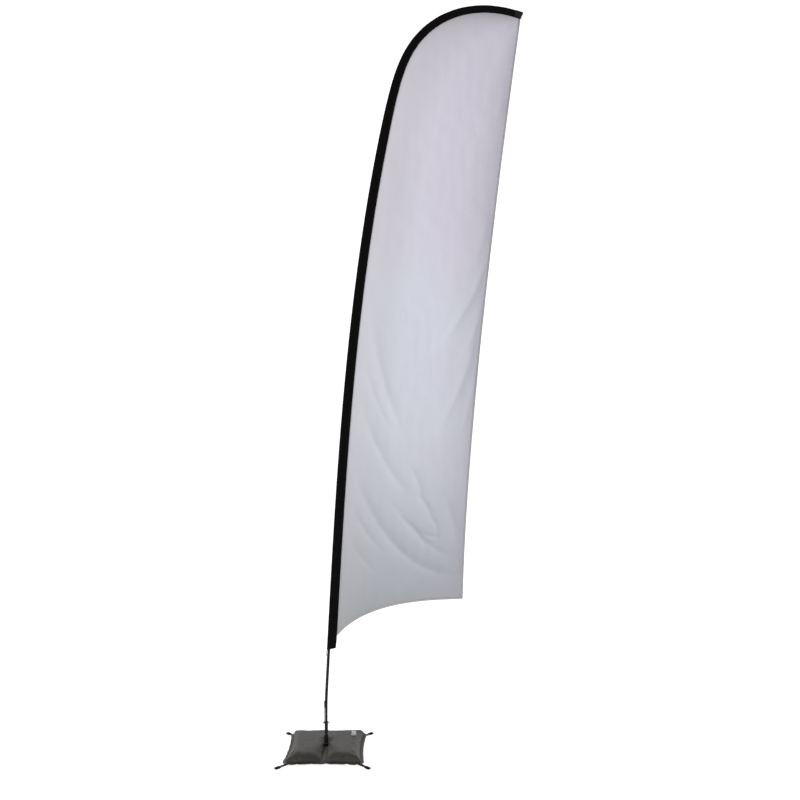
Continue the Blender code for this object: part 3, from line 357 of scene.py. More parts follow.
def thread_finish(name, base):
    """Twisted sewing thread."""
    finish = Finish(name, base, 0.55, sheen_weight=0.3)
    twist = finish.noise(finish.place(), 900.0, 2.0)
    finish.toned(twist, finish.tint(0.8), finish.tint(1.15))
    finish.bump(twist, 0.0001)
    return finish.material


def sleeve_finish():
    """Black oxford cloth with faint wear along its folds."""
    finish = Finish("sleeve_cloth_finish", settings().colours.sleeve, 0.82, specular_ior_level=0.06)
    dust = finish.noise(finish.place(), 14.0, 5.0, 0.65)
    weave = weave_height(finish, finish.surface(), OXFORD_PITCH)
    worn = finish.mix(finish.spread(dust, 0.5, 0.8), finish.base, finish.tint(1.9))
    finish.toned(weave * 0.5, worn, finish.tint(0.5))
    finish.set("Roughness", finish.spread(dust, 0.3, 0.7, 0.76, 0.9))
    finish.bump(weave, 0.00015)
    return finish.material


def webbing_finish():
    """Black ribbed webbing."""
    finish = Finish("webbing_finish", (0.008, 0.008, 0.009), 0.75, sheen_weight=0.03, specular_ior_level=0.2)
    across, along, _ = finish.axes(finish.surface())
    ribs = (across * (math.tau / WEBBING_RIB_PITCH)).sine()
    picks = (along * (math.tau / WEBBING_PICK_PITCH) + ribs).sine()
    height = ribs * picks * 0.5 + 0.5
    finish.toned(height, finish.tint(0.55), finish.tint(1.5))
    finish.bump(height, 0.0003)
    return finish.material


def cord_finish():
    """Black braided cord."""
    finish = Finish("braided_cord_finish", (0.018, 0.018, 0.019), 0.7, sheen_weight=0.2)
    x, y, z = finish.axes(finish.place())
    turns = math.tau / BRAID_PITCH
    braid = ((z + y) * turns).sine() * ((z - y + x) * turns).sine() * 0.5 + 0.5
    finish.toned(braid, finish.tint(0.5), finish.tint(1.4))
    finish.bump(braid, 0.0003)
    return finish.material


def bag_finish():
    """Grey-brown coated sheet: a faint scrim under the coating, scuffs and a little dust."""
    colours = settings().colours
    finish = Finish("bag_sheet_finish", colours.bag, 0.55, specular_ior_level=0.25, coat_weight=0.03)
    warm_patch = (0.061, 0.053, 0.045, 1.0)
    place = finish.place()
    patches = finish.noise(place, 9.0, 4.0, 0.55)
    scuffs = finish.noise(finish.stretched(place, (1.0, 3.0, 1.0)), 60.0, 6.0, 0.7)
    scrim = weave_height(finish, place, SCRIM_PITCH)
    sheet = finish.mix(finish.spread(patches, 0.35, 0.7), finish.tint(0.86), warm_patch)
    finish.toned(finish.spread(scuffs, 0.58, 0.8, 0.0, 0.5), sheet, finish.tint(1.6))
    finish.set("Roughness", finish.spread(scuffs, 0.3, 0.75, 0.42, 0.66))
    finish.bump(scrim * 0.35 + scuffs * 0.65, 0.00035)
    return finish.material


def weld_finish():
    """The bag's flat rim, pressed with the fine ribs of the welding bar."""
    lighter = [part * 1.12 for part in settings().colours.bag]
    finish = Finish("bag_weld_finish", lighter, 0.5, specular_ior_level=0.3)
    across, along, _ = finish.axes(finish.surface())
    turns = math.tau / WELD_RIB_PITCH
    ribs = ((across + along) * turns).sine() * ((across - along) * turns).sine()
    patches = finish.noise(finish.place(), 22.0, 4.0)
    finish.toned(finish.spread(patches, 0.3, 0.75), finish.tint(0.8), finish.tint(1.25))
    finish.bump(ribs * 0.5 + 0.5, 0.0004)
    return finish.material


def painted_finish():
    """Black powder paint, with its orange peel and a few rubbed spots."""
    finish = Finish("black_paint_finish", settings().colours.steel, 0.42, specular_ior_level=0.3)
    place = finish.place()
    peel = finish.noise(place, 420.0, 2.0)
    rubs = finish.noise(place, 38.0, 6.0, 0.7)
    finish.toned(finish.spread(rubs, 0.62, 0.78), finish.base, finish.tint(2.6))
    finish.set("Roughness", finish.spread(rubs, 0.3, 0.7, 0.36, 0.56))
    finish.bump(peel, 0.00012)
    return finish.material


def brushed_finish(name, base, roughness, grain):
    """Plated steel with fine turning marks round its axis."""
    finish = Finish(name, base, roughness, metallic=1.0)
    place = finish.place()
    marks = finish.noise(finish.stretched(place, (0.05, 0.05, 1.0)), grain, 3.0)
    stains = finish.noise(place, 60.0, 5.0, 0.6)
    finish.toned(finish.spread(stains, 0.45, 0.75), finish.base, finish.tint(0.7))
    finish.set("Roughness", finish.spread(marks, 0.3, 0.7, roughness - 0.06, roughness + 0.1))
    finish.bump(marks, 0.00004)
    return finish.material


def moulded_finish(name, base, roughness, grain, depth, **constants):
    """Moulded plastic or rubber with a fine even grain."""
    finish = Finish(name, base, roughness, **constants)
    place = finish.place()
    skin = finish.noise(place, grain, 3.0)
    marks = finish.noise(place, 55.0, 5.0, 0.6)
    finish.toned(finish.spread(marks, 0.5, 0.8, 0.0, 0.6), finish.base, finish.tint(0.78))
    finish.set("Roughness", finish.spread(marks, 0.3, 0.7, roughness - 0.05, roughness + 0.08))
    finish.bump(skin, depth)
    return finish.material


def pole_finish():
    """Black wound fibre under clear resin: faint helical bands along the pole."""
    finish = Finish("wound_fibre_finish", (0.006, 0.006, 0.0065), 0.36, specular_ior_level=0.14)
    place = finish.place()
    x, y, z = finish.axes(place)
    bands = ((z * 2.0 + x * 3.0 + y * 3.0) * (math.tau / FIBRE_BAND_PITCH)).sine() * 0.5 + 0.5
    fibres = finish.noise(finish.stretched(place, (1.0, 1.0, 0.04)), 900.0, 2.0)
    pattern = bands * 0.6 + fibres * 0.4
    finish.toned(pattern, finish.tint(0.7), finish.tint(1.7))
    finish.set("Roughness", finish.spread(pattern, 0.0, 1.0, 0.28, 0.42))
    finish.bump(fibres, 0.00005)
    return finish.material


FINISHES = {}


def make_finishes():
    """The finishes, by the name of the record's slot or of the piece that they are for."""
    colours = settings().colours
    FINISHES.update(
        flag_cloth=flag_finish(),
        hem=hem_finish(),
        white_thread=thread_finish("white_thread_finish", (0.62, 0.62, 0.68)),
        black_thread=thread_finish("black_thread_finish", (0.022, 0.022, 0.024)),
        sleeve_cloth=sleeve_finish(),
        webbing=webbing_finish(),
        cord=cord_finish(),
        bag_sheet=bag_finish(),
        weld=weld_finish(),
        black_steel=painted_finish(),
        zinc_steel=brushed_finish("zinc_finish", (0.55, 0.56, 0.57), 0.34, 2600.0),
        bearing_steel=brushed_finish("ground_steel_finish", (0.62, 0.62, 0.63), 0.16, 5200.0),
        black_rubber=moulded_finish(
            "black_rubber_finish", (0.008, 0.008, 0.008), 0.78, 1500.0, 0.0001, specular_ior_level=0.2
        ),
        black_plastic=moulded_finish(
            "black_plastic_finish", (0.008, 0.008, 0.009), 0.44, 1900.0, 0.00006, specular_ior_level=0.25
        ),
        pole_fibre=pole_finish(),
        white_plastic=moulded_finish("white_plastic_finish", colours.cap, 0.36, 1600.0, 0.00004),
        grey_plastic=moulded_finish("grey_plastic_finish", (0.20, 0.20, 0.20), 0.5, 1600.0, 0.00005),
        nylon=moulded_finish("nylon_finish", (0.70, 0.69, 0.64), 0.48, 1200.0, 0.00005),
    )


# ---------------------------------------------------------------- mesh helpers


# Edges that bend more than this stay sharp
MOULDED_SHARP = math.radians(38)
CLOTH_SHARP = math.radians(60)
HEM_SHARP = math.radians(70)
NEVER_SHARP = math.radians(180)
STITCH_SIDES = 6
STITCH_RINGS = 3


def make_piece(name, source, finish, body, sharp=MOULDED_SHARP):
    """Turns a bmesh or a mesh into a smooth piece that rides on a body."""
    mesh = source
    if isinstance(source, bmesh.types.BMesh):
        bmesh.ops.remove_doubles(source, verts=source.verts, dist=TINY)
        bmesh.ops.recalc_face_normals(source, faces=source.faces)
        mesh = bpy.data.meshes.new(name)
        source.to_mesh(mesh)
        source.free()
    mesh.materials.clear()
    mesh.materials.append(FINISHES[finish])
    mesh.shade_smooth()
    mesh.set_sharp_from_angle(angle=sharp)
    piece = bpy.data.objects.new(name, mesh)
    bpy.context.scene.collection.objects.link(piece)
    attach(piece, body)
    return piece


def verts_of(made):
    """The vertices among what an operator made."""
    return [item for item in made if isinstance(item, bmesh.types.BMVert)]


def edges_of(made):
    """The edges among what an operator made."""
    return [item for item in made if isinstance(item, bmesh.types.BMEdge)]


def raise_face(bm, face, rise, scale=1.0):
    """Pulls a face out along Z by rise, with new walls below it, and scales it about the Z axis."""
    face = bmesh.ops.extrude_discrete_faces(bm, faces=[face])["faces"][0]
    verts = list(face.verts)
    bmesh.ops.translate(bm, vec=(0.0, 0.0, rise), verts=verts)
    bmesh.ops.scale(bm, vec=(scale, scale, 1.0), verts=verts)
    return face


def thicken(piece, thickness, offset=0.0):
    """Gives a sheet its thickness; offset 0 keeps it in the middle."""
    solid = piece.modifiers.new("Thickness", "SOLIDIFY")
    solid.thickness = thickness
    solid.offset = offset
    return piece


def soften(piece, width, segments=2):
    """Rounds a piece's sharp edges."""
    edges = piece.modifiers.new("Edges", "BEVEL")
    edges.width = width
    edges.segments = segments
    edges.limit_method = "ANGLE"
    return piece


def subdivide(piece):
    """Smooths a piece with one level of subdivision."""
    surface = piece.modifiers.new("Smooth", "SUBSURF")
    surface.levels = 1
    surface.render_levels = 1
    return piece


def turned(outline, angle=math.tau, start=0.0, middle=(0.0, 0.0)):
    """Spins (radius, height) points about an upright axis."""
    bm = bmesh.new()
    verts = [bm.verts.new((radius, 0.0, height)) for radius, height in outline]
    pairs = list(zip(verts, verts[1:]))
    if outline[0][0] > 0:
        pairs.append((verts[-1], verts[0]))
    edges = [bm.edges.new(pair) for pair in pairs]
    full = angle == math.tau
    bmesh.ops.rotate(bm, matrix=Matrix.Rotation(start, 3, "Z"), verts=verts)
    steps = max(round(settings().turned_sides * angle / math.tau), 3)
    bmesh.ops.spin(bm, geom=verts + edges, axis=(0, 0, 1), angle=angle, steps=steps, use_merge=full)
    if not full:
        bmesh.ops.holes_fill(bm, edges=[edge for edge in bm.edges if edge.is_boundary])
    bmesh.ops.translate(bm, vec=(*middle, 0.0), verts=bm.verts)
    return bm


def grid(columns, rows, width=1.0, length=1.0):
    """A mesh grid from (0, 0) to (1, 1) whose UV map is in metres."""
    bm = bmesh.new()
    middle = Matrix.Translation((0.5, 0.5, 0.0))
    bmesh.ops.create_grid(bm, x_segments=columns, y_segments=rows, size=0.5, matrix=middle)
    layer = bm.loops.layers.uv.new("UVMap")
    for face in bm.faces:
        for loop in face.loops:
            loop[layer].uv = (loop.vert.co.x * width, loop.vert.co.y * length)
    mesh = bpy.data.meshes.new("grid")
    bm.to_mesh(mesh)
    bm.free()
    return mesh


def points_of(mesh):
    """A mesh's points as an array."""
    points = np.empty(len(mesh.vertices) * 3, np.float32)
    mesh.vertices.foreach_get("co", points)
    return points.reshape(-1, 3).astype(float)


def move_points(mesh, points):
    """Puts a mesh's points where an array says."""
    mesh.vertices.foreach_set("co", np.ascontiguousarray(points, np.float32).reshape(-1))
    mesh.update()


def ribbon(name, path, width, thickness, finish, body, columns=4):
    """A strip that follows path in the mast's plane, with its width along Y."""
    path = np.asarray(path)
    steps = np.linalg.norm(np.diff(path, axis=0), axis=1)
    mesh = grid(columns, len(path) - 1, width, steps.sum())
    flat = points_of(mesh)
    rows = np.rint(flat[:, 1] * (len(path) - 1)).astype(int)
    places = np.stack([path[rows, 0], (flat[:, 0] - 0.5) * width, path[rows, 1]], axis=1)
    move_points(mesh, places)
    return thicken(make_piece(name, mesh, finish, body), thickness)


def corded(name, points, radius, finish, body, closed=True):
    """Round wire or cord through points."""
    data = bpy.data.curves.new(name, "CURVE")
    data.dimensions = "3D"
    data.bevel_depth = radius
    data.bevel_resolution = 4
    data.use_fill_caps = True
    spline = data.splines.new("POLY")
    spline.points.add(len(points) - 1)
    for item, point in zip(spline.points, points):
        item.co = (*point, 1.0)
    spline.use_cyclic_u = closed
    holder = bpy.data.objects.new(name + "_line", data)
    mesh = bpy.data.meshes.new_from_object(holder)
    bpy.data.objects.remove(holder)
    return make_piece(name, mesh, finish, body)


def rounded_loop(corners, radius, steps=8):
    """Points of a closed loop through four corners, rounded at each."""
    points = []
    for index, corner in enumerate(corners):
        before = (corners[index - 1] - corner).normalized() * radius
        after = (corners[(index + 1) % len(corners)] - corner).normalized() * radius
        for step in range(steps + 1):
            turn = math.pi / 2 * step / steps
            points.append(corner + before * (1 - math.sin(turn)) + after * (1 - math.cos(turn)))
    return points


def add_stitches(name, places, along, size, finish, body):
    """Short stitches that pass through the cloth at places, each turned along its seam."""
    length, width, depth = size
    bm = bmesh.new()
    grow = Matrix.Diagonal((length, depth, width, 1.0))
    bmesh.ops.create_uvsphere(
        bm, u_segments=STITCH_SIDES, v_segments=STITCH_RINGS, radius=0.5, matrix=grow
    )
    stitch = bpy.data.meshes.new(name)
    made = len(bm.verts)
    bm.to_mesh(stitch)
    bm.free()
    holder = bpy.data.objects.new(name, stitch)
    bpy.context.scene.collection.objects.link(holder)
    copies = holder.modifiers.new("Copies", "ARRAY")
    copies.count = len(places)
    copies.use_relative_offset = False
    graph = bpy.context.evaluated_depsgraph_get()
    mesh = bpy.data.meshes.new_from_object(holder.evaluated_get(graph))
    bpy.data.objects.remove(holder)
    one = points_of(mesh).reshape(len(places), made, 3)
    axis_x = np.array(along) / np.linalg.norm(along, axis=1)[:, None]
    axis_z = np.cross(axis_x, (0.0, 1.0, 0.0))
    axis_z /= np.linalg.norm(axis_z, axis=1)[:, None]
    turn = np.stack([axis_x, np.cross(axis_z, axis_x), axis_z], axis=1)
    move_points(mesh, (one @ turn + np.array(places)[:, None, :]).reshape(-1, 3))
    return make_piece(name, mesh, finish, body)


# ---------------------------------------------------------------- mast line


def mast_line():
    """Length, X, Z and lean along the mast line, in small steps."""
    along = np.arange(0.0, MAST_LENGTH + LINE_STEP, LINE_STEP)
    at_foot = (along > LEAN_START) & (along < LEAN_START + LEAN_LENGTH)
    bend = np.where(at_foot, LEAN_AT_FOOT / LEAN_LENGTH, 0.0)
    bend = bend + LEAN_GROWTH * np.maximum(along - LEAN_GROWTH_START, 0.0)
    past = along - (MAST_LENGTH - TIP_BEND_LENGTH)
    ramp = 1.0 / (1.0 + np.exp(-past / TIP_BEND_RAMP))
    bend = bend + TIP_CURVATURE * ramp * (1.0 - TIP_FADE * np.maximum(past / TIP_BEND_LENGTH, 0.0) ** 2)
    lean = np.concatenate([[0.0], np.cumsum((bend[1:] + bend[:-1]) / 2 * LINE_STEP)])
    middle = (lean[1:] + lean[:-1]) / 2
    x = np.concatenate([[0.0], np.cumsum(np.sin(middle) * LINE_STEP)])
    z = np.concatenate([[0.0], np.cumsum(np.cos(middle) * LINE_STEP)])
    return along, x, z, lean


LINE = mast_line()
SEARCH_STEP = 10


def mast_places(along, across, depth=0.0):
    """Points at a length along the mast line, across towards the flag, and depth along Y."""
    x, z, lean = (np.interp(along, LINE[0], item) for item in LINE[1:])
    places = np.broadcast_arrays(x + across * np.cos(lean), depth, z - across * np.sin(lean))
    return np.stack(places, axis=-1)


def seam_offset(along):
    """From the mast line to the sleeve's seam edge."""
    run = np.maximum((along - SLEEVE_TAPER_START) / (MAST_LENGTH - SLEEVE_TAPER_START), 0.0)
    return (SLEEVE_WIDTH - SLEEVE_NOSE) * (1.0 - (1.0 - SLEEVE_TIP_SHARE) * run)


def beside_mast(x, z):
    """(length along, distance beyond the seam) of points in the flag's plane."""
    along, line_x, line_z, lean = (item[::SEARCH_STEP] for item in LINE)
    away = (x[:, None] - line_x) ** 2 + (z[:, None] - line_z) ** 2
    near = away.argmin(axis=1)
    to_x = x - line_x[near]
    to_z = z - line_z[near]
    forward = to_x * np.sin(lean[near]) + to_z * np.cos(lean[near])
    across = to_x * np.cos(lean[near]) - to_z * np.sin(lean[near])
    place = along[near] + forward
    return place, across - seam_offset(place)


# ---------------------------------------------------------------- flag cloth

HEAD = mast_places(SLEEVE_END, seam_offset(SLEEVE_END) + 2 * GAP + TAPE_WIDTH)[FLAT]
FOOT = mast_places(FLAG_START, seam_offset(FLAG_START) + 2 * GAP + TAPE_WIDTH)[FLAT]
CORNER = np.array(FLAG_CORNER)
LEECH_LENGTH = 3.52
LOW_EDGE_LENGTH = 0.84
SEAM_LENGTH = 4.37
LEECH_CURL_WIDTH = 0.045
LEECH_STEPS = 120
HEM_TUCK = 0.0006
FOOT_FADE = 0.16
PANEL_CELLS = (84, 330)
PANEL_SIZE = (0.8, 4.0)
HEM_COLUMNS = 12
HEM_ROW = 0.010
HEM_CLOTH = 0.0003
HEM_EDGE_ROUNDING = 0.0012
HEM_WAVER = 0.0002
HEM_WAVER_LENGTH = 0.021
TAPE_CELLS = (3, 440)
TAPE_THICKNESS = 0.0018
TAPE_EDGE = 0.0003

# Rows of stitches on a hem, as shares of its width; a stitch's share of its pitch; its width and depth
HEM_ROW_SHARES = (0.2, 0.85)
STITCH_SHARE = 0.72
FLAG_STITCH = (0.0006, 0.0029)
SLEEVE_STITCH = (0.0007, 0.0040)

# Folds, each through three points of the flag's plane, with its half width and its height
FOLDS = (
    (((1.122, 3.999), (1.02, 3.83), (0.90, 3.72)), 0.045, 0.006),
    (((0.976, 3.251), (0.93, 3.05), (0.84, 2.90)), 0.040, 0.007),
    (((0.964, 2.961), (0.845, 2.680), (0.650, 2.400)), 0.030, 0.016),
    (((0.940, 2.740), (0.890, 2.520), (0.790, 2.330)), 0.020, 0.008),
    (((0.900, 2.530), (0.810, 2.210), (0.640, 1.880)), 0.030, 0.014),
    (((0.905, 2.330), (0.860, 2.080), (0.800, 1.900)), 0.016, 0.006),
    (((0.255, 2.800), (0.330, 2.300), (0.480, 1.880)), 0.034, 0.007),
    (((0.215, 2.420), (0.290, 2.150), (0.400, 1.920)), 0.016, 0.004),
    (((0.190, 2.180), (0.330, 1.790), (0.500, 1.560)), 0.026, 0.006),
    (((0.150, 1.740), (0.420, 1.240), (0.795, 1.065)), 0.030, 0.011),
    (((0.130, 1.560), (0.230, 1.340), (0.380, 1.180)), 0.020, 0.005),
    (((0.115, 1.350), (0.190, 1.200), (0.320, 1.060)), 0.022, 0.005),
    (((0.400, 1.500), (0.560, 1.300), (0.740, 1.180)), 0.018, 0.007),
    (((0.470, 1.400), (0.560, 1.310), (0.600, 1.220)), 0.012, 0.006),
    (((0.540, 1.560), (0.610, 1.470), (0.640, 1.370)), 0.016, 0.006),
    (((0.620, 1.420), (0.660, 1.370), (0.665, 1.290)), 0.009, 0.005),
    (((0.560, 1.330), (0.630, 1.300), (0.690, 1.310)), 0.010, 0.005),
    (((0.500, 1.720), (0.560, 1.600), (0.570, 1.480)), 0.020, 0.005),
    (((0.700, 1.560), (0.760, 1.400), (0.770, 1.250)), 0.026, 0.005),
)
CREASE_STEPS = 40
CREST_SHARE = 0.3
FLANK_SHARE = 0.75
RIPPLE_SEED = 7
RIPPLE_STRETCH = (0.45, 0.5)

# How many waves, the shortest, the longest and their height
SLOW_RIPPLES = (7, 0.28, 0.75, 0.0035)
FINE_RIPPLES = (9, 0.05, 0.14, 0.0005)


def ripples(x, z, seed, count, shortest, longest, height):
    """A few crossing waves that never quite repeat."""
    rng = np.random.default_rng(seed)
    total = np.zeros_like(x)
    for _ in range(count):
        direction = rng.uniform(0.0, math.tau)
        length = rng.uniform(shortest, longest)
        phase = rng.uniform(0.0, math.tau)
        run = x * math.cos(direction) + z * math.sin(direction)
        total += np.sin(run * math.tau / length + phase)
    return total * height / math.sqrt(count)


def curve_through(points, count):
    """Points along the parabola that starts, passes and ends at three points."""
    start, middle, end = (np.array(point) for point in points)
    pull = 2 * middle - (start + end) / 2
    turn = np.linspace(0.0, 1.0, count)[:, None]
    return start * (1 - turn) ** 2 + pull * 2 * turn * (1 - turn) + end * turn**2


def crease(x, z, points, half_width, height):
    """A ridge along a curve, crisp at its crest and faded at both ends."""
    line = curve_through(points, CREASE_STEPS)
    away = (x[:, None] - line[:, 0]) ** 2 + (z[:, None] - line[:, 1]) ** 2
    near = away.argmin(axis=1)
    gap = np.sqrt(away.min(axis=1))
    turn = near / (len(line) - 1)
    crest = half_width * CREST_SHARE
    profile = np.exp((crest - np.sqrt(gap**2 + crest**2)) / (half_width * FLANK_SHARE))
    return height * profile * np.sin(math.pi * np.clip(turn, 0.02, 0.98)) ** 0.8


def edge_curve(start, pull, end, turn):
    """(point, inward normal) along one edge of the flag, with the cloth on its left."""
    turn = turn[:, None]
    point = start * (1 - turn) ** 2 + pull * 2 * turn * (1 - turn) + end * turn**2
    tangent = (pull - start) * (1 - turn) + (end - pull) * turn
    tangent /= np.linalg.norm(tangent, axis=1)[:, None]
    return point, np.stack([-tangent[:, 1], tangent[:, 0]], axis=1)


def leech(turn):
    """The free edge, from the low corner to the head."""
    pull = CORNER + np.array([LEECH_PULL[0], LEECH_PULL[1] * (HEAD[1] - CORNER[1])])
    return edge_curve(CORNER, pull, HEAD, turn)


def low_edge(turn):
    """The bottom edge, from the sleeve to the low corner."""
    pull = FOOT + (CORNER - FOOT) * np.array(FOOT_PULL)
    return edge_curve(FOOT, pull, CORNER, turn)


def cloth_depth(x, z):
    """How far the cloth stands off its plane, along Y; towards -Y it is negative."""
    sizes = settings().cloth
    _, beyond_seam = beside_mast(x, z)
    beyond_seam = np.maximum(beyond_seam, 0.0)
    line, _ = leech(np.linspace(0.0, 1.0, LEECH_STEPS))
    inside = np.sqrt(((x[:, None] - line[:, 0]) ** 2 + (z[:, None] - line[:, 1]) ** 2).min(axis=1))
    held = 1.0 - np.exp(-beyond_seam / sizes.luff_curl)
    height = sizes.belly * held - sizes.leech_curl * np.exp(-inside / LEECH_CURL_WIDTH) * held
    folds = sum(crease(x, z, *fold) for fold in FOLDS)
    slow = ripples(x, z * RIPPLE_STRETCH[0], RIPPLE_SEED, *SLOW_RIPPLES)
    fine = ripples(x, z * RIPPLE_STRETCH[1], RIPPLE_SEED + 1, *FINE_RIPPLES)
    return -(height + (folds * sizes.fold_scale + slow + fine) * held)


def on_cloth(flat, depth=0.0):
    """Points of the flag's plane moved onto the cloth, depth beyond its middle."""
    return np.stack([flat[:, 0], cloth_depth(flat[:, 0], flat[:, 1]) + depth, flat[:, 1]], axis=1)


def panel_points(across, up):
    """Flat points of the panel: across from the sleeve to the free edge, up from foot to head."""
    along = FLAG_START + (SLEEVE_END - FLAG_START) * up
    start = mast_places(along, seam_offset(along) + GAP)[:, FLAT]
    free, inward = leech(up)
    free = free + inward * HEM_TUCK
    bow, rise = low_edge(across)
    straight = FOOT + (CORNER - FOOT) * across[:, None]
    lift = bow + rise * HEM_TUCK - straight
    fade = np.clip(1.0 - up / FOOT_FADE, 0.0, 1.0)[:, None] ** 2
    return start + (free - start) * across[:, None] + lift * fade


def add_panel():
    """The flag's one large piece of cloth."""
    mesh = grid(*PANEL_CELLS, *PANEL_SIZE)
    flat = points_of(mesh)
    points = panel_points(flat[:, 0], flat[:, 1])
    flat_area = grid_area(points, *PANEL_CELLS)
    move_points(mesh, on_cloth(points))
    panel = make_piece("flag_cloth", mesh, "flag_cloth", "mast")
    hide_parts("flag_panel")
    return thicken(panel, settings().cloth.cloth_thickness), flat_area


def grid_area(points, columns, rows):
    """The flat area of a grid of points."""
    order = points.reshape(rows + 1, columns + 1, 2)
    one = order[1:, 1:] - order[:-1, :-1]
    two = order[1:, :-1] - order[:-1, 1:]
    return float(np.abs(one[..., 0] * two[..., 1] - one[..., 1] * two[..., 0]).sum() / 2)


def add_hem(name, edge, length, node):
    """A turned hem wrapped round one edge, front and back."""
    sizes = settings().cloth
    mesh = grid(HEM_COLUMNS, round(length / HEM_ROW), 2 * sizes.hem_width, length)
    flat = points_of(mesh)
    point, inward = edge(flat[:, 1])
    side = flat[:, 0] * 2 - 1
    inset = np.abs(side) ** 1.4 * sizes.hem_width
    bulge = np.clip(inset / HEM_EDGE_ROUNDING, 0.0, 1.0) ** 0.5 * sizes.hem_thickness / 2
    waver = HEM_WAVER * np.sin(flat[:, 1] * length * math.tau / HEM_WAVER_LENGTH)
    places = on_cloth(point + inward * inset[:, None])
    places[:, 1] += np.sign(side) * bulge + waver * np.abs(side)
    move_points(mesh, places)
    hem = make_piece(name, mesh, "hem", "mast", HEM_SHARP)
    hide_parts(node)
    return thicken(hem, HEM_CLOTH, 1.0)


def add_tape():
    """The light tape that joins the cloth to the sleeve."""
    length = SLEEVE_END - FLAG_START
    mesh = grid(*TAPE_CELLS, TAPE_WIDTH, length)
    flat = points_of(mesh)
    along = FLAG_START + length * flat[:, 1]
    across = seam_offset(along) + GAP + TAPE_WIDTH * flat[:, 0]
    places = mast_places(along, across)
    places[:, 1] = cloth_depth(places[:, 0], places[:, 2])
    move_points(mesh, places)
    tape = make_piece("seam_tape", mesh, "hem", "mast")
    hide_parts("luff_tape")
    return soften(thicken(tape, TAPE_THICKNESS), TAPE_EDGE)


def seam_rows(edge, length, insets):
    """Places and directions of the stitches in rows beside one edge."""
    count = round(length / settings().cloth.stitch_pitch)
    turn = (np.arange(count) + 0.5) / count
    places = []
    along = []
    for inset in insets:
        point, inward = edge(turn)
        row = on_cloth(point + inward * inset)
        places.extend(row)
        along.extend(np.gradient(row, axis=0))
    return places, along


def tape_edge(turn):
    """The tape's middle line as an edge, for its row of stitches."""
    along = FLAG_START + (SLEEVE_END - FLAG_START) * turn
    middle = mast_places(along, seam_offset(along) + GAP + TAPE_WIDTH / 2)[:, FLAT]
    return middle, np.zeros_like(middle)


def add_flag_stitches():
    """The rows of white stitches on the hems and the tape."""
    sizes = settings().cloth
    rows = [sizes.hem_width * share for share in HEM_ROW_SHARES]
    seams = (
        (leech, LEECH_LENGTH, rows),
        (low_edge, LOW_EDGE_LENGTH, rows),
        (tape_edge, SEAM_LENGTH, [0.0]),
    )
    places = []
    along = []
    for seam in seams:
        more_places, more_along = seam_rows(*seam)
        places += more_places
        along += more_along
    size = (sizes.stitch_pitch * STITCH_SHARE, *FLAG_STITCH)
    return add_stitches("flag_stitches", places, along, size, "white_thread", "mast")


# ---------------------------------------------------------------- sleeve

# The front web from its seam edge to where it meets the pole: (across, depth)
SLEEVE_WEB = (
    (SLEEVE_WIDTH - SLEEVE_NOSE, -0.0012),
    (0.038, -0.0013),
    (0.030, -0.0019),
    (0.021, -0.0048),
    (0.012, -0.0083),
)
SLEEVE_FOLD_ANGLES = (285.0, 75.0, 22)
SLEEVE_CELLS = (56, 460)
SLEEVE_ROUND = 0.13
SLEEVE_CLOTH = 0.0007
MOUTH_LENGTH = 0.030
MOUTH_NARROWING = 0.11
MOUTH_SLANT = 0.009
FLAT_DEPTH = 0.0011
TIP_CALM = 0.020
BOTTOM_HEM_HEIGHT = 0.014
BOTTOM_HEM_ROWS = 4
BOTTOM_HEM_CLOTH = 0.0008
POLE_IN_SLEEVE = 0.012
POCKET_LENGTH = 0.042
POCKET_CELLS = (56, 8)
POCKET_GROWTH = 1.0 + 0.075
POCKET_MIDDLE = 0.010
POCKET_CLOTH = 0.0010
POCKET_END_CELLS = (20, 4)
POCKET_END_INSET = 0.0016
POCKET_END_BULGE = 0.0012

# The sleeve's stitches stop short of its hem and of the pocket, in two rows beside the seam
STITCHES_AFTER_MOUTH = 0.016
STITCHES_BEFORE_TIP = 0.044
SLEEVE_ROW_INSETS = (0.0025, 0.0095)

# The sleeve creases more where the pole bends most
BEND_PLACE = 4.45
BEND_REACH = 0.35
BEND_CREASING = 1.4
CREASE_SLANT = 0.16
WIDE_CREASE = 0.113
FINE_CREASE = 0.031
SEAM_REACH = 0.08
MOUTH_EDGE = 0.045


def sleeve_section(turn):
    """(across, depth) round the sleeve, from its front seam edge round the pole to its back one."""
    middle = SLEEVE_HALF_DEPTH - SLEEVE_NOSE
    angles = np.radians(np.linspace(*SLEEVE_FOLD_ANGLES))
    round_pole = np.stack([np.cos(angles), np.sin(angles)], axis=1)
    fold = round_pole * SLEEVE_HALF_DEPTH + (middle, 0.0)
    web = np.array(SLEEVE_WEB)
    outline = np.concatenate([web, fold, web[::-1] * (1, -1)])
    steps = np.concatenate([[0.0], np.cumsum(np.linalg.norm(np.diff(outline, axis=0), axis=1))])
    place = turn * steps[-1]
    return np.interp(place, steps, outline[:, 0]), np.interp(place, steps, outline[:, 1])


def sleeve_creases(along, turn):
    """How far the sleeve's cloth puckers outwards."""
    sizes = settings().cloth
    bend = 1.0 + BEND_CREASING * np.exp(-(((along - BEND_PLACE) / BEND_REACH) ** 2))
    slant = turn * CREASE_SLANT
    wide = np.sin((along + slant) * math.tau / WIDE_CREASE + 2.0 * np.sin(along * 7.3))
    fine = np.sin((along - slant) * math.tau / FINE_CREASE + 3.0 * np.sin(along * 5.1))
    seam = np.exp(-np.minimum(turn, 1 - turn) / SEAM_REACH)
    return sizes.pucker * bend * (wide * 0.7 + fine * (0.25 + 0.5 * seam))


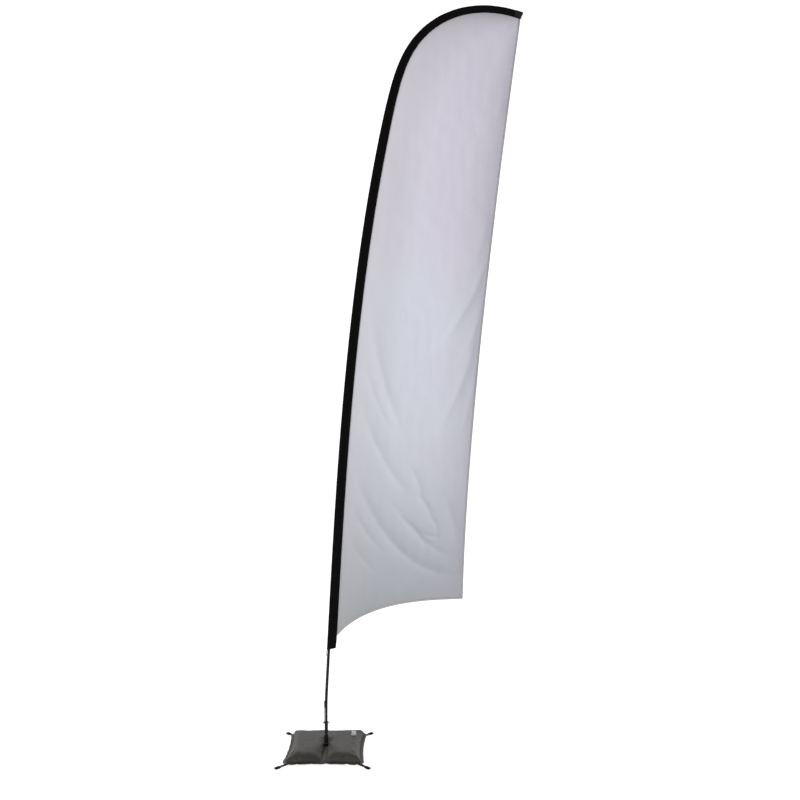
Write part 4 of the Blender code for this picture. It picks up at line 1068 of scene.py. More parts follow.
def sleeve_points(turn, up):
    """Points of the sleeve, a little slanted and drawn in at its open bottom."""
    along = SLEEVE_START + (SLEEVE_END - SLEEVE_START) * up
    across, depth = sleeve_section(turn)
    narrow = seam_offset(along) / seam_offset(SLEEVE_START)
    low = np.exp(-(along - SLEEVE_START) / MOUTH_LENGTH)
    across = across * narrow * (1.0 - MOUTH_NARROWING * low * (across > 0))
    near_tip = np.clip((SLEEVE_END - along) / TIP_CALM, 0.0, 1.0)
    rise = sleeve_creases(along, turn) * near_tip
    depth = depth + np.sign(depth) * np.where(np.abs(depth) > FLAT_DEPTH, rise, 0.0)
    slant = MOUTH_SLANT * low * np.clip(across / MOUTH_EDGE, 0.0, 1.0)
    return mast_places(along + slant, across, depth)


def add_sleeve():
    """The black cloth tube that holds the pole."""
    mesh = grid(*SLEEVE_CELLS, SLEEVE_ROUND, SLEEVE_END - SLEEVE_START)
    flat = points_of(mesh)
    move_points(mesh, sleeve_points(flat[:, 0], flat[:, 1]))
    sleeve = make_piece("sleeve_cloth", mesh, "sleeve_cloth", "mast", CLOTH_SHARP)
    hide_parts("sleeve")
    thicken(sleeve, SLEEVE_CLOTH)


def add_sleeve_hem():
    """The turned band round the sleeve's open bottom."""
    mesh = grid(SLEEVE_CELLS[0], BOTTOM_HEM_ROWS, SLEEVE_ROUND, BOTTOM_HEM_HEIGHT)
    flat = points_of(mesh)
    up = flat[:, 1] * BOTTOM_HEM_HEIGHT / (SLEEVE_END - SLEEVE_START)
    low = sleeve_points(flat[:, 0], up)
    middle = mast_places(np.full(len(flat), SLEEVE_START), POLE_IN_SLEEVE)
    out = low - middle
    out[:, 2] = 0.0
    out /= np.maximum(np.linalg.norm(out, axis=1), TINY)[:, None]
    move_points(mesh, low + out * SLEEVE_CLOTH)
    hem = make_piece("sleeve_bottom_hem", mesh, "sleeve_cloth", "mast", CLOTH_SHARP)
    thicken(hem, BOTTOM_HEM_CLOTH, 1.0)


def add_tip_patch():
    """The doubled pocket that takes the pole's tip and closes the sleeve."""
    mesh = grid(*POCKET_CELLS, 0.1, POCKET_LENGTH)
    flat = points_of(mesh)
    start = 1.0 - POCKET_LENGTH / (SLEEVE_END - SLEEVE_START)
    places = sleeve_points(flat[:, 0], start + (1.0 - start) * flat[:, 1])
    along = SLEEVE_END - POCKET_LENGTH * (1.0 - flat[:, 1])
    middle = mast_places(along, POCKET_MIDDLE)
    move_points(mesh, middle + (places - middle) * POCKET_GROWTH)
    pocket = make_piece("tip_pocket", mesh, "webbing", "mast", CLOTH_SHARP)
    thicken(pocket, POCKET_CLOTH, 0.5)


def add_tip_end():
    """The flat folded end of the tip pocket."""
    mesh = grid(*POCKET_END_CELLS, 0.05, 0.02)
    flat = points_of(mesh)
    across, depth = sleeve_section(flat[:, 0] * 0.5)
    across = across * SLEEVE_TIP_SHARE
    side = 1.0 - 2.0 * flat[:, 1]
    along = MAST_LENGTH - POCKET_END_INSET + POCKET_END_BULGE * (1.0 - side**2)
    move_points(mesh, mast_places(along, across, depth * side))
    end = make_piece("tip_pocket_end", mesh, "webbing", "mast")
    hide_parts("sleeve_end_patch")
    thicken(end, POCKET_END_INSET)


def add_sleeve_stitches():
    """Two black rows beside the sleeve's seam."""
    sizes = settings().cloth
    start = SLEEVE_START + STITCHES_AFTER_MOUTH
    end = SLEEVE_END - STITCHES_BEFORE_TIP
    count = round((end - start) / sizes.stitch_pitch)
    along = start + (np.arange(count) + 0.5) * (end - start) / count
    places = []
    directions = []
    for inset in SLEEVE_ROW_INSETS:
        row = mast_places(along, seam_offset(along) - inset)
        places.extend(row)
        directions.extend(np.gradient(row, axis=0))
    size = (sizes.stitch_pitch * STITCH_SHARE, *SLEEVE_STITCH)
    add_stitches("sleeve_stitches", places, directions, size, "black_thread", "mast")


# ---------------------------------------------------------------- pole and its fittings


POLE_RADIUS = 0.008
POLE_WALL = 0.0013
POLE_LENGTH = 1.32
POLE_SIDES = 40
POLE_ROW = 0.012
FITTING_BORE = 0.0083
FERRULE_EDGE = 0.0008
GROOVE_INSET = 0.008
GROOVE = ((0.0012, 0.0), (0.0005, 0.0007), (-0.0005, 0.0007), (-0.0012, 0.0))


def swept_tube(name, radius, wall, start, end, finish):
    """A tube that follows the mast line."""
    rows = max(round((end - start) / POLE_ROW), 2)
    bm = bmesh.new()
    verts = bmesh.ops.create_circle(bm, segments=POLE_SIDES, radius=radius)["verts"]
    edges = bm.edges[:]
    before = Matrix()
    for row in range(rows + 1):
        along = start + (end - start) * row / rows
        x, z, lean = (float(np.interp(along, LINE[0], item)) for item in LINE[1:])
        place = Matrix.Translation((x, 0.0, z)) @ Matrix.Rotation(lean, 4, "Y")
        if row:
            made = bmesh.ops.extrude_edge_only(bm, edges=edges)["geom"]
            verts = verts_of(made)
            edges = [edge for edge in edges_of(made) if all(vert in verts for vert in edge.verts)]
        bmesh.ops.transform(bm, matrix=place @ before.inverted(), verts=verts)
        before = place
    return thicken(make_piece(name, bm, finish, "mast"), wall, -1.0)


COLLAR_RADIUS = 0.0110
COLLAR_EDGE = 0.0002
HOOK_HALF_WIDTH = 0.0030
HOOK_HALF_THICKNESS = 0.0022
HOOK_ROOT_DEPTH = 0.0012
HOOK_ROOT_DROP = 0.0036
HOOK_BEND_REACH = 0.0002
HOOK_BEND_DROP = 0.0098
HOOK_BEND = math.radians(82)
HOOK_BEND_STEPS = 9
HOOK_EDGE = 0.0006

# The hook's tip below its bend: how far each part drops, and its size against the one before
HOOK_TIP = ((0.0035, 0.92), (0.0030, 0.80), (0.0010, 0.55))


def add_collar():
    """The moulded collar with its two drooping hooks."""
    low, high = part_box("hook_collar")
    outer = COLLAR_RADIUS
    outline = [
        (FITTING_BORE, high.z),
        (outer - 0.0006, high.z),
        (outer, high.z - 0.0006),
        (outer, high.z - 0.0075),
        (outer - 0.0005, high.z - 0.0080),
        (outer - 0.0005, low.z + 0.0030),
        (outer + 0.0004, low.z + 0.0022),
        (outer + 0.0004, low.z + 0.0006),
        (outer - 0.0004, low.z),
        (FITTING_BORE, low.z),
    ]
    collar = make_piece("collar_ring", turned(outline), "black_plastic", "mast")
    soften(collar, COLLAR_EDGE)
    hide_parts("hook_collar")
    add_hook("collar_hook_right", high.z, 0.0)
    add_hook("collar_hook_left", high.z, math.pi)


def add_hook(name, top, heading):
    """One hook: it leaves the collar level, bends down and tapers to a blunt tip."""
    bm = bmesh.new()
    y, z = HOOK_HALF_WIDTH, HOOK_HALF_THICKNESS
    corners = ((0.0, -y, -z), (0.0, y, -z), (0.0, y, z), (0.0, -y, z))
    face = bm.faces.new([bm.verts.new(corner) for corner in corners])
    root = (COLLAR_RADIUS - HOOK_ROOT_DEPTH, 0.0, top - HOOK_ROOT_DROP)
    bmesh.ops.translate(bm, vec=root, verts=bm.verts)
    centre = Vector((COLLAR_RADIUS + HOOK_BEND_REACH, 0.0, top - HOOK_BEND_DROP))
    bent = bmesh.ops.spin(
        bm, geom=[face], cent=centre, axis=(0, 1, 0), angle=HOOK_BEND, steps=HOOK_BEND_STEPS
    )["geom_last"]
    tip = [item for item in bent if isinstance(item, bmesh.types.BMFace)]
    for drop, scale in HOOK_TIP:
        tip = bmesh.ops.extrude_discrete_faces(bm, faces=tip)["faces"]
        verts = list(tip[0].verts)
        bmesh.ops.translate(bm, vec=(0.0, 0.0, -drop), verts=verts)
        to_middle = Matrix.Translation(-tip[0].calc_center_median())
        bmesh.ops.scale(bm, vec=(scale, scale, 1.0), verts=verts, space=to_middle)
    bmesh.ops.rotate(bm, matrix=Matrix.Rotation(heading, 3, "Z"), verts=bm.verts)
    soften(make_piece(name, bm, "black_plastic", "mast"), HOOK_EDGE, 3)


def add_foot_ferrule():
    """The stout sleeve at the pole's foot, with two pressed grooves."""
    low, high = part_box("foot_ferrule")
    outer = high.x
    inner = FITTING_BORE
    edge = FERRULE_EDGE
    outline = [(inner, high.z), (outer - edge, high.z), (outer, high.z - edge)]
    for middle in (high.z - GROOVE_INSET, low.z + GROOVE_INSET):
        outline += [(outer - depth, middle + rise) for rise, depth in GROOVE]
    outline += [(outer, low.z + edge), (outer - edge, low.z), (inner, low.z)]
    ferrule = make_piece("pole_foot_ferrule", turned(outline), "black_steel", "mast")
    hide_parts("foot_ferrule")


PIN_RADIUS = 0.0064
SEAT_RADIUS = 0.0105
NECK_RADIUS = 0.0070
DUST_FLANGE_RADIUS = 0.0120
SHOULDER_RADIUS = 0.0055
JOURNAL_RADIUS = 0.0037
SHOULDER_LENGTH = 0.0063


def add_spindle():
    """The turned and blackened spindle, from its pin and seat down to its journal."""
    low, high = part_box("spindle")
    flange_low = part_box("spindle_housing")[1].z + GAP
    seat_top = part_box("foot_ferrule")[0].z - GAP
    pin = PIN_RADIUS
    seat = SEAT_RADIUS
    flange = DUST_FLANGE_RADIUS
    shoulder_low = flange_low - SHOULDER_LENGTH
    outline = [
        (0.0, high.z),
        (pin - 0.0016, high.z),
        (pin - 0.0004, high.z - 0.0030),
        (pin, high.z - 0.0045),
        (pin, seat_top),
        (seat - 0.0005, seat_top),
        (seat, seat_top - 0.0005),
        (seat, seat_top - 0.0025),
        (seat - 0.0005, seat_top - 0.0030),
        (NECK_RADIUS + 0.0008, seat_top - 0.0034),
        (NECK_RADIUS, seat_top - 0.0044),
        (NECK_RADIUS, flange_low + 0.0040),
        (NECK_RADIUS + 0.0010, flange_low + 0.0028),
        (flange - 0.0007, flange_low + 0.0027),
        (flange, flange_low + 0.0020),
        (flange, flange_low + 0.0004),
        (flange - 0.0004, flange_low),
        (SHOULDER_RADIUS, flange_low),
        (SHOULDER_RADIUS, shoulder_low),
        (JOURNAL_RADIUS, shoulder_low),
        (JOURNAL_RADIUS, low.z + 0.0006),
        (JOURNAL_RADIUS - 0.0006, low.z),
        (0.0, low.z),
    ]
    spindle = make_piece("turned_spindle", turned(outline), "black_steel", "rotor")
    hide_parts("spindle")


HOUSING_BORE = 0.0098
HOUSING_BOLT_BORE = 0.0043
HOUSING_FLOOR = 0.016


def add_housing():
    """The painted tube that holds the bearings, with a rolled top lip."""
    low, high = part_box("spindle_housing")
    outer = high.x
    outline = [
        (HOUSING_BORE, high.z),
        (outer - 0.0010, high.z),
        (outer - 0.0003, high.z - 0.0003),
        (outer, high.z - 0.0010),
        (outer, high.z - 0.0050),
        (outer - 0.0005, high.z - 0.0056),
        (outer - 0.0005, high.z - 0.0064),
        (outer, high.z - 0.0070),
        (outer, low.z + 0.0008),
        (outer - 0.0008, low.z),
        (HOUSING_BOLT_BORE, low.z),
        (HOUSING_BOLT_BORE, low.z + HOUSING_FLOOR),
        (HOUSING_BORE, low.z + HOUSING_FLOOR),
    ]
    housing = make_piece("bearing_housing", turned(outline), "black_steel", "base")
    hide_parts("spindle_housing")


# The tether lies along the pole's back; places are lengths along the mast line
STRAP_OFFSET = 0.0092
RING_OFFSET = 0.0119
RING_TOP = 0.597
RING_FOOT = 0.585
TAB_TOP = 0.655
STRAP_FOOT = 0.288
STRAP_WIDTH = 0.010
STRAP_THICKNESS = 0.0012
STRAP_ROW = 0.008
WRAP_RADIUS = 0.0022
WRAP_STEPS = 9
TURN_BACK = (0.001, 0.016, 4)
TURN_BACK_GAP = 0.0016
RING_WIRE = 0.0012
RING_HALF_WIDTH = 0.0068
RING_ROUNDING = 0.0026
CORD_RADIUS = 0.00125
CORD_INSET = 0.0018
CORD_ROUNDING = 0.0028


def add_tether():
    """The webbing tab and strap, the ring between them, the slide and the cord to the hook."""
    ring_low, ring_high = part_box("tether_ring")
    tab = folded_strip("sleeve_tab", RING_TOP, TAB_TOP, 1)
    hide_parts("tether_tab")
    strap = folded_strip("tether_webbing", RING_FOOT, STRAP_FOOT, -1)
    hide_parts("tether_strap")
    corners = [
        Vector(mast_places(along, -RING_OFFSET, side * RING_HALF_WIDTH))
        for along, side in ((RING_TOP, -1), (RING_TOP, 1), (RING_FOOT, 1), (RING_FOOT, -1))
    ]
    loop = rounded_loop(corners, RING_ROUNDING)
    ring = corded("webbing_ring", loop, RING_WIRE, "zinc_steel", "mast")
    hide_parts("tether_ring")
    add_slide()
    low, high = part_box("tether_loop")
    right = high.x - CORD_INSET
    left = low.x + CORD_INSET
    front = low.y + CORD_RADIUS
    back = high.y - CORD_RADIUS
    top = high.z - CORD_RADIUS
    foot = low.z + CORD_RADIUS
    corners = [
        Vector(place)
        for place in ((right, front, top), (right, back, top), (left, back, foot), (left, front, foot))
    ]
    loop = rounded_loop(corners, CORD_ROUNDING)
    cord = corded("hook_cord", loop, CORD_RADIUS, "cord", "mast")
    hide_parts("tether_loop")


def folded_strip(name, bar, far, up):
    """The strip from far along the pole to a bar of the ring, round it, and back a little."""
    turns = np.linspace(0.0, math.pi, WRAP_STEPS)
    straight = np.linspace(far, bar, max(round(abs(far - bar) / STRAP_ROW), 3))[:-1]
    back = bar + up * np.linspace(*TURN_BACK)
    along = np.concatenate([straight, bar - up * WRAP_RADIUS * np.sin(turns), back])
    across = np.concatenate([
        np.full(len(straight), -STRAP_OFFSET),
        -RING_OFFSET + WRAP_RADIUS * np.cos(turns),
        np.linspace(-RING_OFFSET - WRAP_RADIUS, -STRAP_OFFSET - TURN_BACK_GAP, len(back)),
    ])
    path = mast_places(along, across)[:, FLAT]
    return ribbon(name, path, STRAP_WIDTH, STRAP_THICKNESS, "webbing", "mast")


SLIDE_RIBS = 10
SLIDE_RIB_DEPTH = 0.0009
SLIDE_PLAIN_END = 0.004
SLIDE_EDGE = 0.0008


def add_slide():
    """The plastic slide that sets the tether's length, with grip ribs on its face."""
    low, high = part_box("tether_adjuster")
    middle = (low + high) / 2
    bm = bmesh.new()
    bmesh.ops.create_cube(bm, size=1.0, matrix=Matrix.LocRotScale(middle, None, high - low))
    upright = [edge for edge in bm.edges if edge.verts[0].co.xy == edge.verts[1].co.xy]
    bmesh.ops.subdivide_edges(bm, edges=upright, cuts=SLIDE_RIBS, use_grid_fill=True)
    for vert in bm.verts:
        place = vert.co
        if place.x > middle.x or min(place.z - low.z, high.z - place.z) < SLIDE_PLAIN_END:
            continue
        row = round((place.z - low.z) / (high.z - low.z) * (SLIDE_RIBS + 1))
        place.x += SLIDE_RIB_DEPTH * (row % 2)
    slide = make_piece("tether_slide", bm, "black_plastic", "mast")
    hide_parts("tether_adjuster")
    soften(slide, SLIDE_EDGE)


def add_pole():
    """The bottom section, which shows below the sleeve."""
    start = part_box("pole_section_1")[0].z
    end = start + POLE_LENGTH
    tube = swept_tube("lowest_pole_tube", POLE_RADIUS, POLE_WALL, start, end, "pole_fibre")
    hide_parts("pole_section_1")


# ---------------------------------------------------------------- cross base


LEG_REACH = 0.382
SHOE_LENGTH = 0.032
SHOE_HALF_WIDTH = 0.0108
SHOE_ROUNDING = 0.0016
SHOE_CORNER_STEPS = 3
VALLEY = 0.955
RIB_START = 0.0085
RIB_PITCH = 0.0045

# (place along the shoe, size of its section) of the shoe's mouth, of one grip rib and of its closed end
SHOE_MOUTH = ((0.0, 0.93), (0.0010, 1.0), (0.0045, 1.0), (0.0050, VALLEY))
SHOE_RIB = ((0.0, VALLEY), (0.0005, 1.0), (0.0025, 1.0), (0.0030, VALLEY))
SHOE_END = ((0.0235, VALLEY), (0.0242, 1.0), (0.0305, 1.0), (0.0317, 0.97), (SHOE_LENGTH, 0.90))


def add_leg_cap(node):
    """A moulded rubber shoe with grip ribs on one leg's end."""
    low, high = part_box(node)
    middle = (low + high) / 2
    direction = math.atan2(middle.y, middle.x)
    stations = list(SHOE_MOUTH)
    for number in range(3):
        start = RIB_START + number * RIB_PITCH
        stations += [(start + place, grow) for place, grow in SHOE_RIB]
    stations += SHOE_END
    half_height = high.z / 2
    outline = []
    for turn, (side_y, side_z) in enumerate(((1, 1), (-1, 1), (-1, -1), (1, -1))):
        for step in range(SHOE_CORNER_STEPS + 1):
            angle = math.pi / 2 * (turn + step / SHOE_CORNER_STEPS)
            y = side_y * (SHOE_HALF_WIDTH - SHOE_ROUNDING) + SHOE_ROUNDING * math.cos(angle)
            z = side_z * (half_height - SHOE_ROUNDING) + SHOE_ROUNDING * math.sin(angle)
            outline.append((y, z))
    bm = bmesh.new()
    face = bm.faces.new([bm.verts.new((0.0, y, z)) for y, z in outline])
    before = (0.0, 1.0)
    for number, (place, grow) in enumerate(stations):
        if number:
            face = bmesh.ops.extrude_discrete_faces(bm, faces=[face])["faces"][0]
        scale = grow / before[1]
        verts = list(face.verts)
        bmesh.ops.scale(bm, vec=(1.0, scale, scale), verts=verts)
        bmesh.ops.translate(bm, vec=(place - before[0], 0.0, 0.0), verts=verts)
        before = (place, grow)
    bmesh.ops.translate(bm, vec=(LEG_REACH - SHOE_LENGTH, 0.0, half_height), verts=bm.verts)
    bmesh.ops.rotate(bm, matrix=Matrix.Rotation(direction, 3, "Z"), verts=bm.verts)
    body = "base" if node in ("leg_cap_front_left", "leg_cap_back_right") else "cross_leg"
    shoe = make_piece(node.replace("leg_cap", "rubber_shoe"), bm, "black_rubber", body)
    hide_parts(node)


# ---------------------------------------------------------------- water bag

BAG_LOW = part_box("water_bag")[0].z
BAG_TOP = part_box("water_bag")[1].z
BAG_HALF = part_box("water_bag")[1].x
SLIT_HALF = 0.015
SIDE_HOLLOW = 0.013
CORNER_CUT = 0.010
SIDE_POINTS = 60
LEAST_HEIGHT = 0.0022
HEADROOM = 0.0010

# How far the bag is held down at its hole and along its slit, as shares of its height
HOLE_EDGE = 0.020
HOLE_REACH = 0.014
HOLE_HOLD = 0.20
SLIT_START = 0.022
SLIT_RUN = 0.12
SLIT_HOLD = 0.10
SLIT_HOLD_GROWTH = 0.62
SLIT_REACH = 0.012
SLIT_REACH_GROWTH = 0.014

# Puckers along the rim, slow waves on the top, and the calm place under the filler
PUCKER_LENGTH = 0.046
PUCKER_REACH = 0.028
PUCKER_HEIGHT = 0.0016
TOP_WAVE_SEED = 3
TOP_WAVES = (6, 0.12, 0.30, 0.0011)
CALM_RADIUS = 0.022
CALM_FADE = 0.03


def bag_edge():
    """The filled bag's plan: four hollowed sides between blunt corners, anticlockwise."""
    half = BAG_HALF - settings().bag.flange_width
    x = np.linspace(CORNER_CUT - half, half - CORNER_CUT, SIDE_POINTS)
    hollow = SIDE_HOLLOW * (1 - (x / half) ** 2)
    side = np.stack([x, hollow - half], axis=1)
    quarters = np.arange(4) * math.pi / 2
    turns = [np.array([(math.cos(a), math.sin(a)), (-math.sin(a), math.cos(a))]) for a in quarters]
    return np.concatenate([side @ turn for turn in turns])


def nearest_edge(x, y, outline):
    """(distance, place along) from points to a closed outline."""
    ends = np.roll(outline, -1, axis=0)
    step = ends - outline
    length = np.linalg.norm(step, axis=1)
    start = np.concatenate([[0.0], np.cumsum(length)[:-1]])
    to = np.stack([x, y], axis=1)[:, None, :] - outline[None]
    turn = np.clip((to * step).sum(axis=2) / length**2, 0.0, 1.0)
    away = np.linalg.norm(to - step * turn[..., None], axis=2)
    near = away.argmin(axis=1)
    rows = np.arange(len(x))
    return away[rows, near], start[near] + turn[rows, near] * length[near]


def bag_height(x, y):
    """How high the filled bag stands over its underside at each point of its plan."""
    sizes = settings().bag
    inset, place = nearest_edge(x, y, bag_edge())
    rise = np.sqrt(1.0 - (1.0 - np.clip(inset / sizes.shoulder, 0.0, 1.0)) ** 2)
    radius = np.hypot(x, y)
    hole = 1.0 - HOLE_HOLD * np.exp(-np.maximum(radius - HOLE_EDGE, 0.0) / HOLE_REACH)
    beside = np.maximum(np.abs(x) - SLIT_HALF, 0.0)
    forward = np.clip((-y - SLIT_START) / SLIT_RUN, 0.0, 1.0)
    hold = SLIT_HOLD + SLIT_HOLD_GROWTH * forward
    valley = 1.0 - hold * np.exp(-beside / (SLIT_REACH + SLIT_REACH_GROWTH * forward)) * (y < 0)
    pucker = np.sin(place * math.tau / PUCKER_LENGTH + 2.2 * np.sin(place * 23.0))
    pucker *= PUCKER_HEIGHT * rise * np.exp(-inset / PUCKER_REACH)
    waves = ripples(x, y, TOP_WAVE_SEED, *TOP_WAVES)
    filler = np.hypot(x - FILLER_PLACE[0], y - FILLER_PLACE[1])
    calm = np.clip((filler - CALM_RADIUS) / CALM_FADE, 0.0, 1.0)
    full = BAG_TOP - BAG_LOW - HEADROOM
    height = full * rise * hole * valley + (pucker + waves - HEADROOM) * calm
    return np.maximum(height, LEAST_HEIGHT)


# Pressed-in creases of the bag: three points in plan, half width and height
BAG_CREASES = (
    (((-0.205, -0.215), (-0.185, -0.180), (-0.178, -0.140)), 0.010, -0.0075),
    (((-0.150, -0.222), (-0.146, -0.200), (-0.150, -0.175)), 0.008, -0.0045),
    (((0.070, -0.222), (0.062, -0.195), (0.066, -0.160)), 0.007, -0.0050),
    (((0.082, -0.190), (0.098, -0.180), (0.122, -0.182)), 0.006, -0.0030),
    (((0.195, -0.205), (0.175, -0.170), (0.150, -0.150)), 0.010, -0.0050),
    (((-0.090, -0.036), (-0.076, -0.040), (-0.060, -0.036)), 0.004, -0.0022),
    (((-0.040, -0.020), (-0.032, -0.012), (-0.030, 0.004)), 0.004, -0.0018),
    (((0.215, 0.180), (0.195, 0.160), (0.180, 0.150)), 0.008, -0.0035),
    (((-0.215, 0.205), (-0.190, 0.180), (-0.160, 0.165)), 0.010, -0.0050),
    (((-0.222, -0.060), (-0.200, -0.050), (-0.176, -0.052)), 0.007, -0.0040),
)


HOLE_POINTS = 28
SLAB_THICKNESS = 0.012
SWELL_FRAMES = 20
TENSION = 20.0
BENDING = 1.5


def keyhole_outline():
    """The bag's plan with the hole at its centre and the slit from there to the front."""
    outline = bag_edge()
    front = outline[:, 1] < -BAG_HALF / 2
    between = front & (np.abs(outline[:, 0]) < SLIT_HALF)
    first = np.flatnonzero(between)[-1] + 1
    outer = np.roll(outline, -first, axis=0)[: len(outline) - between.sum()]
    front_y = outer[0, 1]
    radius = HOLE_RADIUS - GAP
    mouth = math.acos(SLIT_HALF / radius)
    angles = np.linspace(-math.pi + mouth, -math.tau - mouth, HOLE_POINTS)
    hole = np.stack([radius * np.cos(angles), radius * np.sin(angles)], axis=1)
    start = np.array([[SLIT_HALF, front_y]])
    end = np.array([[-SLIT_HALF, front_y]])
    return np.concatenate([start, outer, end, hole])


def plain_bag():
    """The bag before it swells: a slab raised to the filled bag's heights."""
    bm = bmesh.new()
    face = bm.faces.new([bm.verts.new((x, y, BAG_LOW)) for x, y in keyhole_outline()])
    made = bmesh.ops.extrude_face_region(bm, geom=[face, *face.edges])["geom"]
    bmesh.ops.translate(bm, vec=(0.0, 0.0, SLAB_THICKNESS), verts=verts_of(made))
    bmesh.ops.recalc_face_normals(bm, faces=bm.faces)
    slab = bpy.data.meshes.new("bag_slab")
    bm.to_mesh(slab)
    bm.free()
    holder = bpy.data.objects.new("bag_slab", slab)
    bpy.context.scene.collection.objects.link(holder)
    remesh = holder.modifiers.new("Even mesh", "REMESH")
    remesh.mode = "VOXEL"
    remesh.voxel_size = settings().bag.voxel
    graph = bpy.context.evaluated_depsgraph_get()
    mesh = bpy.data.meshes.new_from_object(holder.evaluated_get(graph))
    bpy.data.objects.remove(holder)
    points = points_of(mesh)
    low = points[:, 2].min()
    level = np.clip((points[:, 2] - low) / (points[:, 2].max() - low), 0.0, 1.0)
    points[:, 2] = BAG_LOW + level * bag_height(points[:, 0], points[:, 1])
    move_points(mesh, points)
    return mesh


def swell(piece):
    """Lets the bag's sheet swell as cloth under pressure, each point within the limit."""
    sizes = settings().bag
    before = points_of(piece.data)
    cloth = piece.modifiers.new("Swell", "CLOTH")
    cloth.settings.use_pressure = True
    cloth.settings.uniform_pressure_force = sizes.pressure
    cloth.settings.effector_weights.gravity = 0.0
    cloth.settings.tension_stiffness = TENSION
    cloth.settings.bending_stiffness = BENDING
    cloth.collision_settings.use_collision = False
    cloth.point_cache.frame_end = SWELL_FRAMES
    for number in range(1, SWELL_FRAMES + 1):
        bpy.context.scene.frame_set(number)
    graph = bpy.context.evaluated_depsgraph_get()
    after = points_of(piece.evaluated_get(graph).data)
    piece.modifiers.remove(cloth)
    bpy.context.scene.frame_set(1)
    move = after - before
    size = np.maximum(np.linalg.norm(move, axis=1), TINY)
    return before + move * np.minimum(sizes.swell_limit / size, 1.0)[:, None]


UNDERSIDE = 0.008
FILLER_SEAT_RADIUS = 0.020
FILLER_SEAT_DROP = 0.0001
RING_SEAT_RADIUS = 0.026
SWELL_ROOM = 0.0030


def settle(points):
    """Keeps the swollen bag in its own space, then presses in its creases."""
    top = points[:, 2] > BAG_LOW + UNDERSIDE
    for crease_points, half_width, height in BAG_CREASES:
        points[:, 2] += crease(points[:, 0], points[:, 1], crease_points, half_width, height) * top
    filler = np.hypot(points[:, 0] - FILLER_PLACE[0], points[:, 1] - FILLER_PLACE[1])
    roof = np.where(filler < FILLER_SEAT_RADIUS, BAG_TOP - FILLER_SEAT_DROP, BAG_TOP + SWELL_ROOM)
    radius = np.hypot(points[:, 0], points[:, 1])
    ring_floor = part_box("hole_ring")[0].z - GAP
    roof = np.where(radius < RING_SEAT_RADIUS, ring_floor, roof)
    points[:, 2] = np.clip(points[:, 2], BAG_LOW, roof)
    push = np.maximum(HOLE_RADIUS - GAP - radius, 0.0) / np.maximum(radius, TINY)
    points[:, :2] += points[:, :2] * push[:, None]
    return points


def add_bag():
    bag = make_piece("bag_skin", plain_bag(), "bag_sheet", "bag", NEVER_SHARP)
    points = swell(bag)
    move_points(bag.data, settle(points))
    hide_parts("water_bag")
    subdivide(bag)


def outward(outline):
    """Outward normals of an anticlockwise outline."""
    step = np.roll(outline, -1, axis=0) - np.roll(outline, 1, axis=0)
    step /= np.linalg.norm(step, axis=1)[:, None]
    return np.stack([step[:, 1], -step[:, 0]], axis=1)


RIM_COLUMNS = 6
RIM_TUCK = 0.016
RIM_THICKNESS = 0.0012
RIM_LIFT = 0.0016
RIM_WAVES = (0.095, 0.041)
RIM_WAVE_WIDTH = 0.16
RIM_WAVE_RISE = 0.0022
RIM_DROOP = 0.0085
LEG_PLACE = 0.215
LEG_FADE = 0.03


def add_flange():
    """The flat welded rim round the bag, wavy where the filled bag draws it in."""
    sizes = settings().bag
    outline = bag_edge()
    normal = outward(outline)
    rows = len(outline)
    length = np.linalg.norm(np.roll(outline, -1, axis=0) - outline, axis=1).sum()
    mesh = grid(RIM_COLUMNS, rows, sizes.flange_width, length)
    flat = points_of(mesh)
    row = np.rint(flat[:, 1] * rows).astype(int) % rows
    place = flat[:, 1] * length
    long_wave = np.sin(place * math.tau / RIM_WAVES[0] + 2.0 * np.sin(place * 9.0))
    wave = long_wave + 0.5 * np.sin(place * math.tau / RIM_WAVES[1])
    front = np.clip(-outline[row, 1] / BAG_HALF - 0.75, 0.0, 0.25) * 4.0
    between_legs = np.clip((LEG_PLACE - np.abs(outline[row, 0])) / LEG_FADE, 0.0, 1.0) * front
    width = sizes.flange_width * (1.0 + RIM_WAVE_WIDTH * wave * (0.35 + 0.65 * front))
    reach = -RIM_TUCK + flat[:, 0] * (width + RIM_TUCK)
    out = np.clip(reach / sizes.flange_width, 0.0, 1.2)
    drop = RIM_DROOP * between_legs * out**1.3
    rise = np.abs(wave) * RIM_WAVE_RISE * out
    points = np.empty_like(flat)
    points[:, :2] = outline[row] + normal[row] * reach[:, None]
    points[:, 2] = BAG_LOW + RIM_LIFT + rise - drop
    move_points(mesh, points)
    flange = make_piece("bag_flange", mesh, "weld", "bag")
    subdivide(thicken(flange, RIM_THICKNESS))


LIP_CELLS = (6, 44)
LIP_SIZE = (0.018, 0.2)
LIP_OVERLAP = 0.0030
LIP_REACH = 0.0220
LIP_HOLE_END = -0.0185
LIP_WALL_GAP = 0.003
LIP_FLOOR = 0.0075
LIP_FLOOR_SHARE = 0.32
LIP_CURL = 1.6
LIP_CLIMB = 0.72
LIP_LAP = 0.0014
LIP_WAVER = 0.0009
LIP_WAVER_LENGTH = 0.052
LIP_FRONT_FADE = 0.03
LIP_THICKNESS = 0.0011
LIP_LEAST_HEIGHT = 0.001


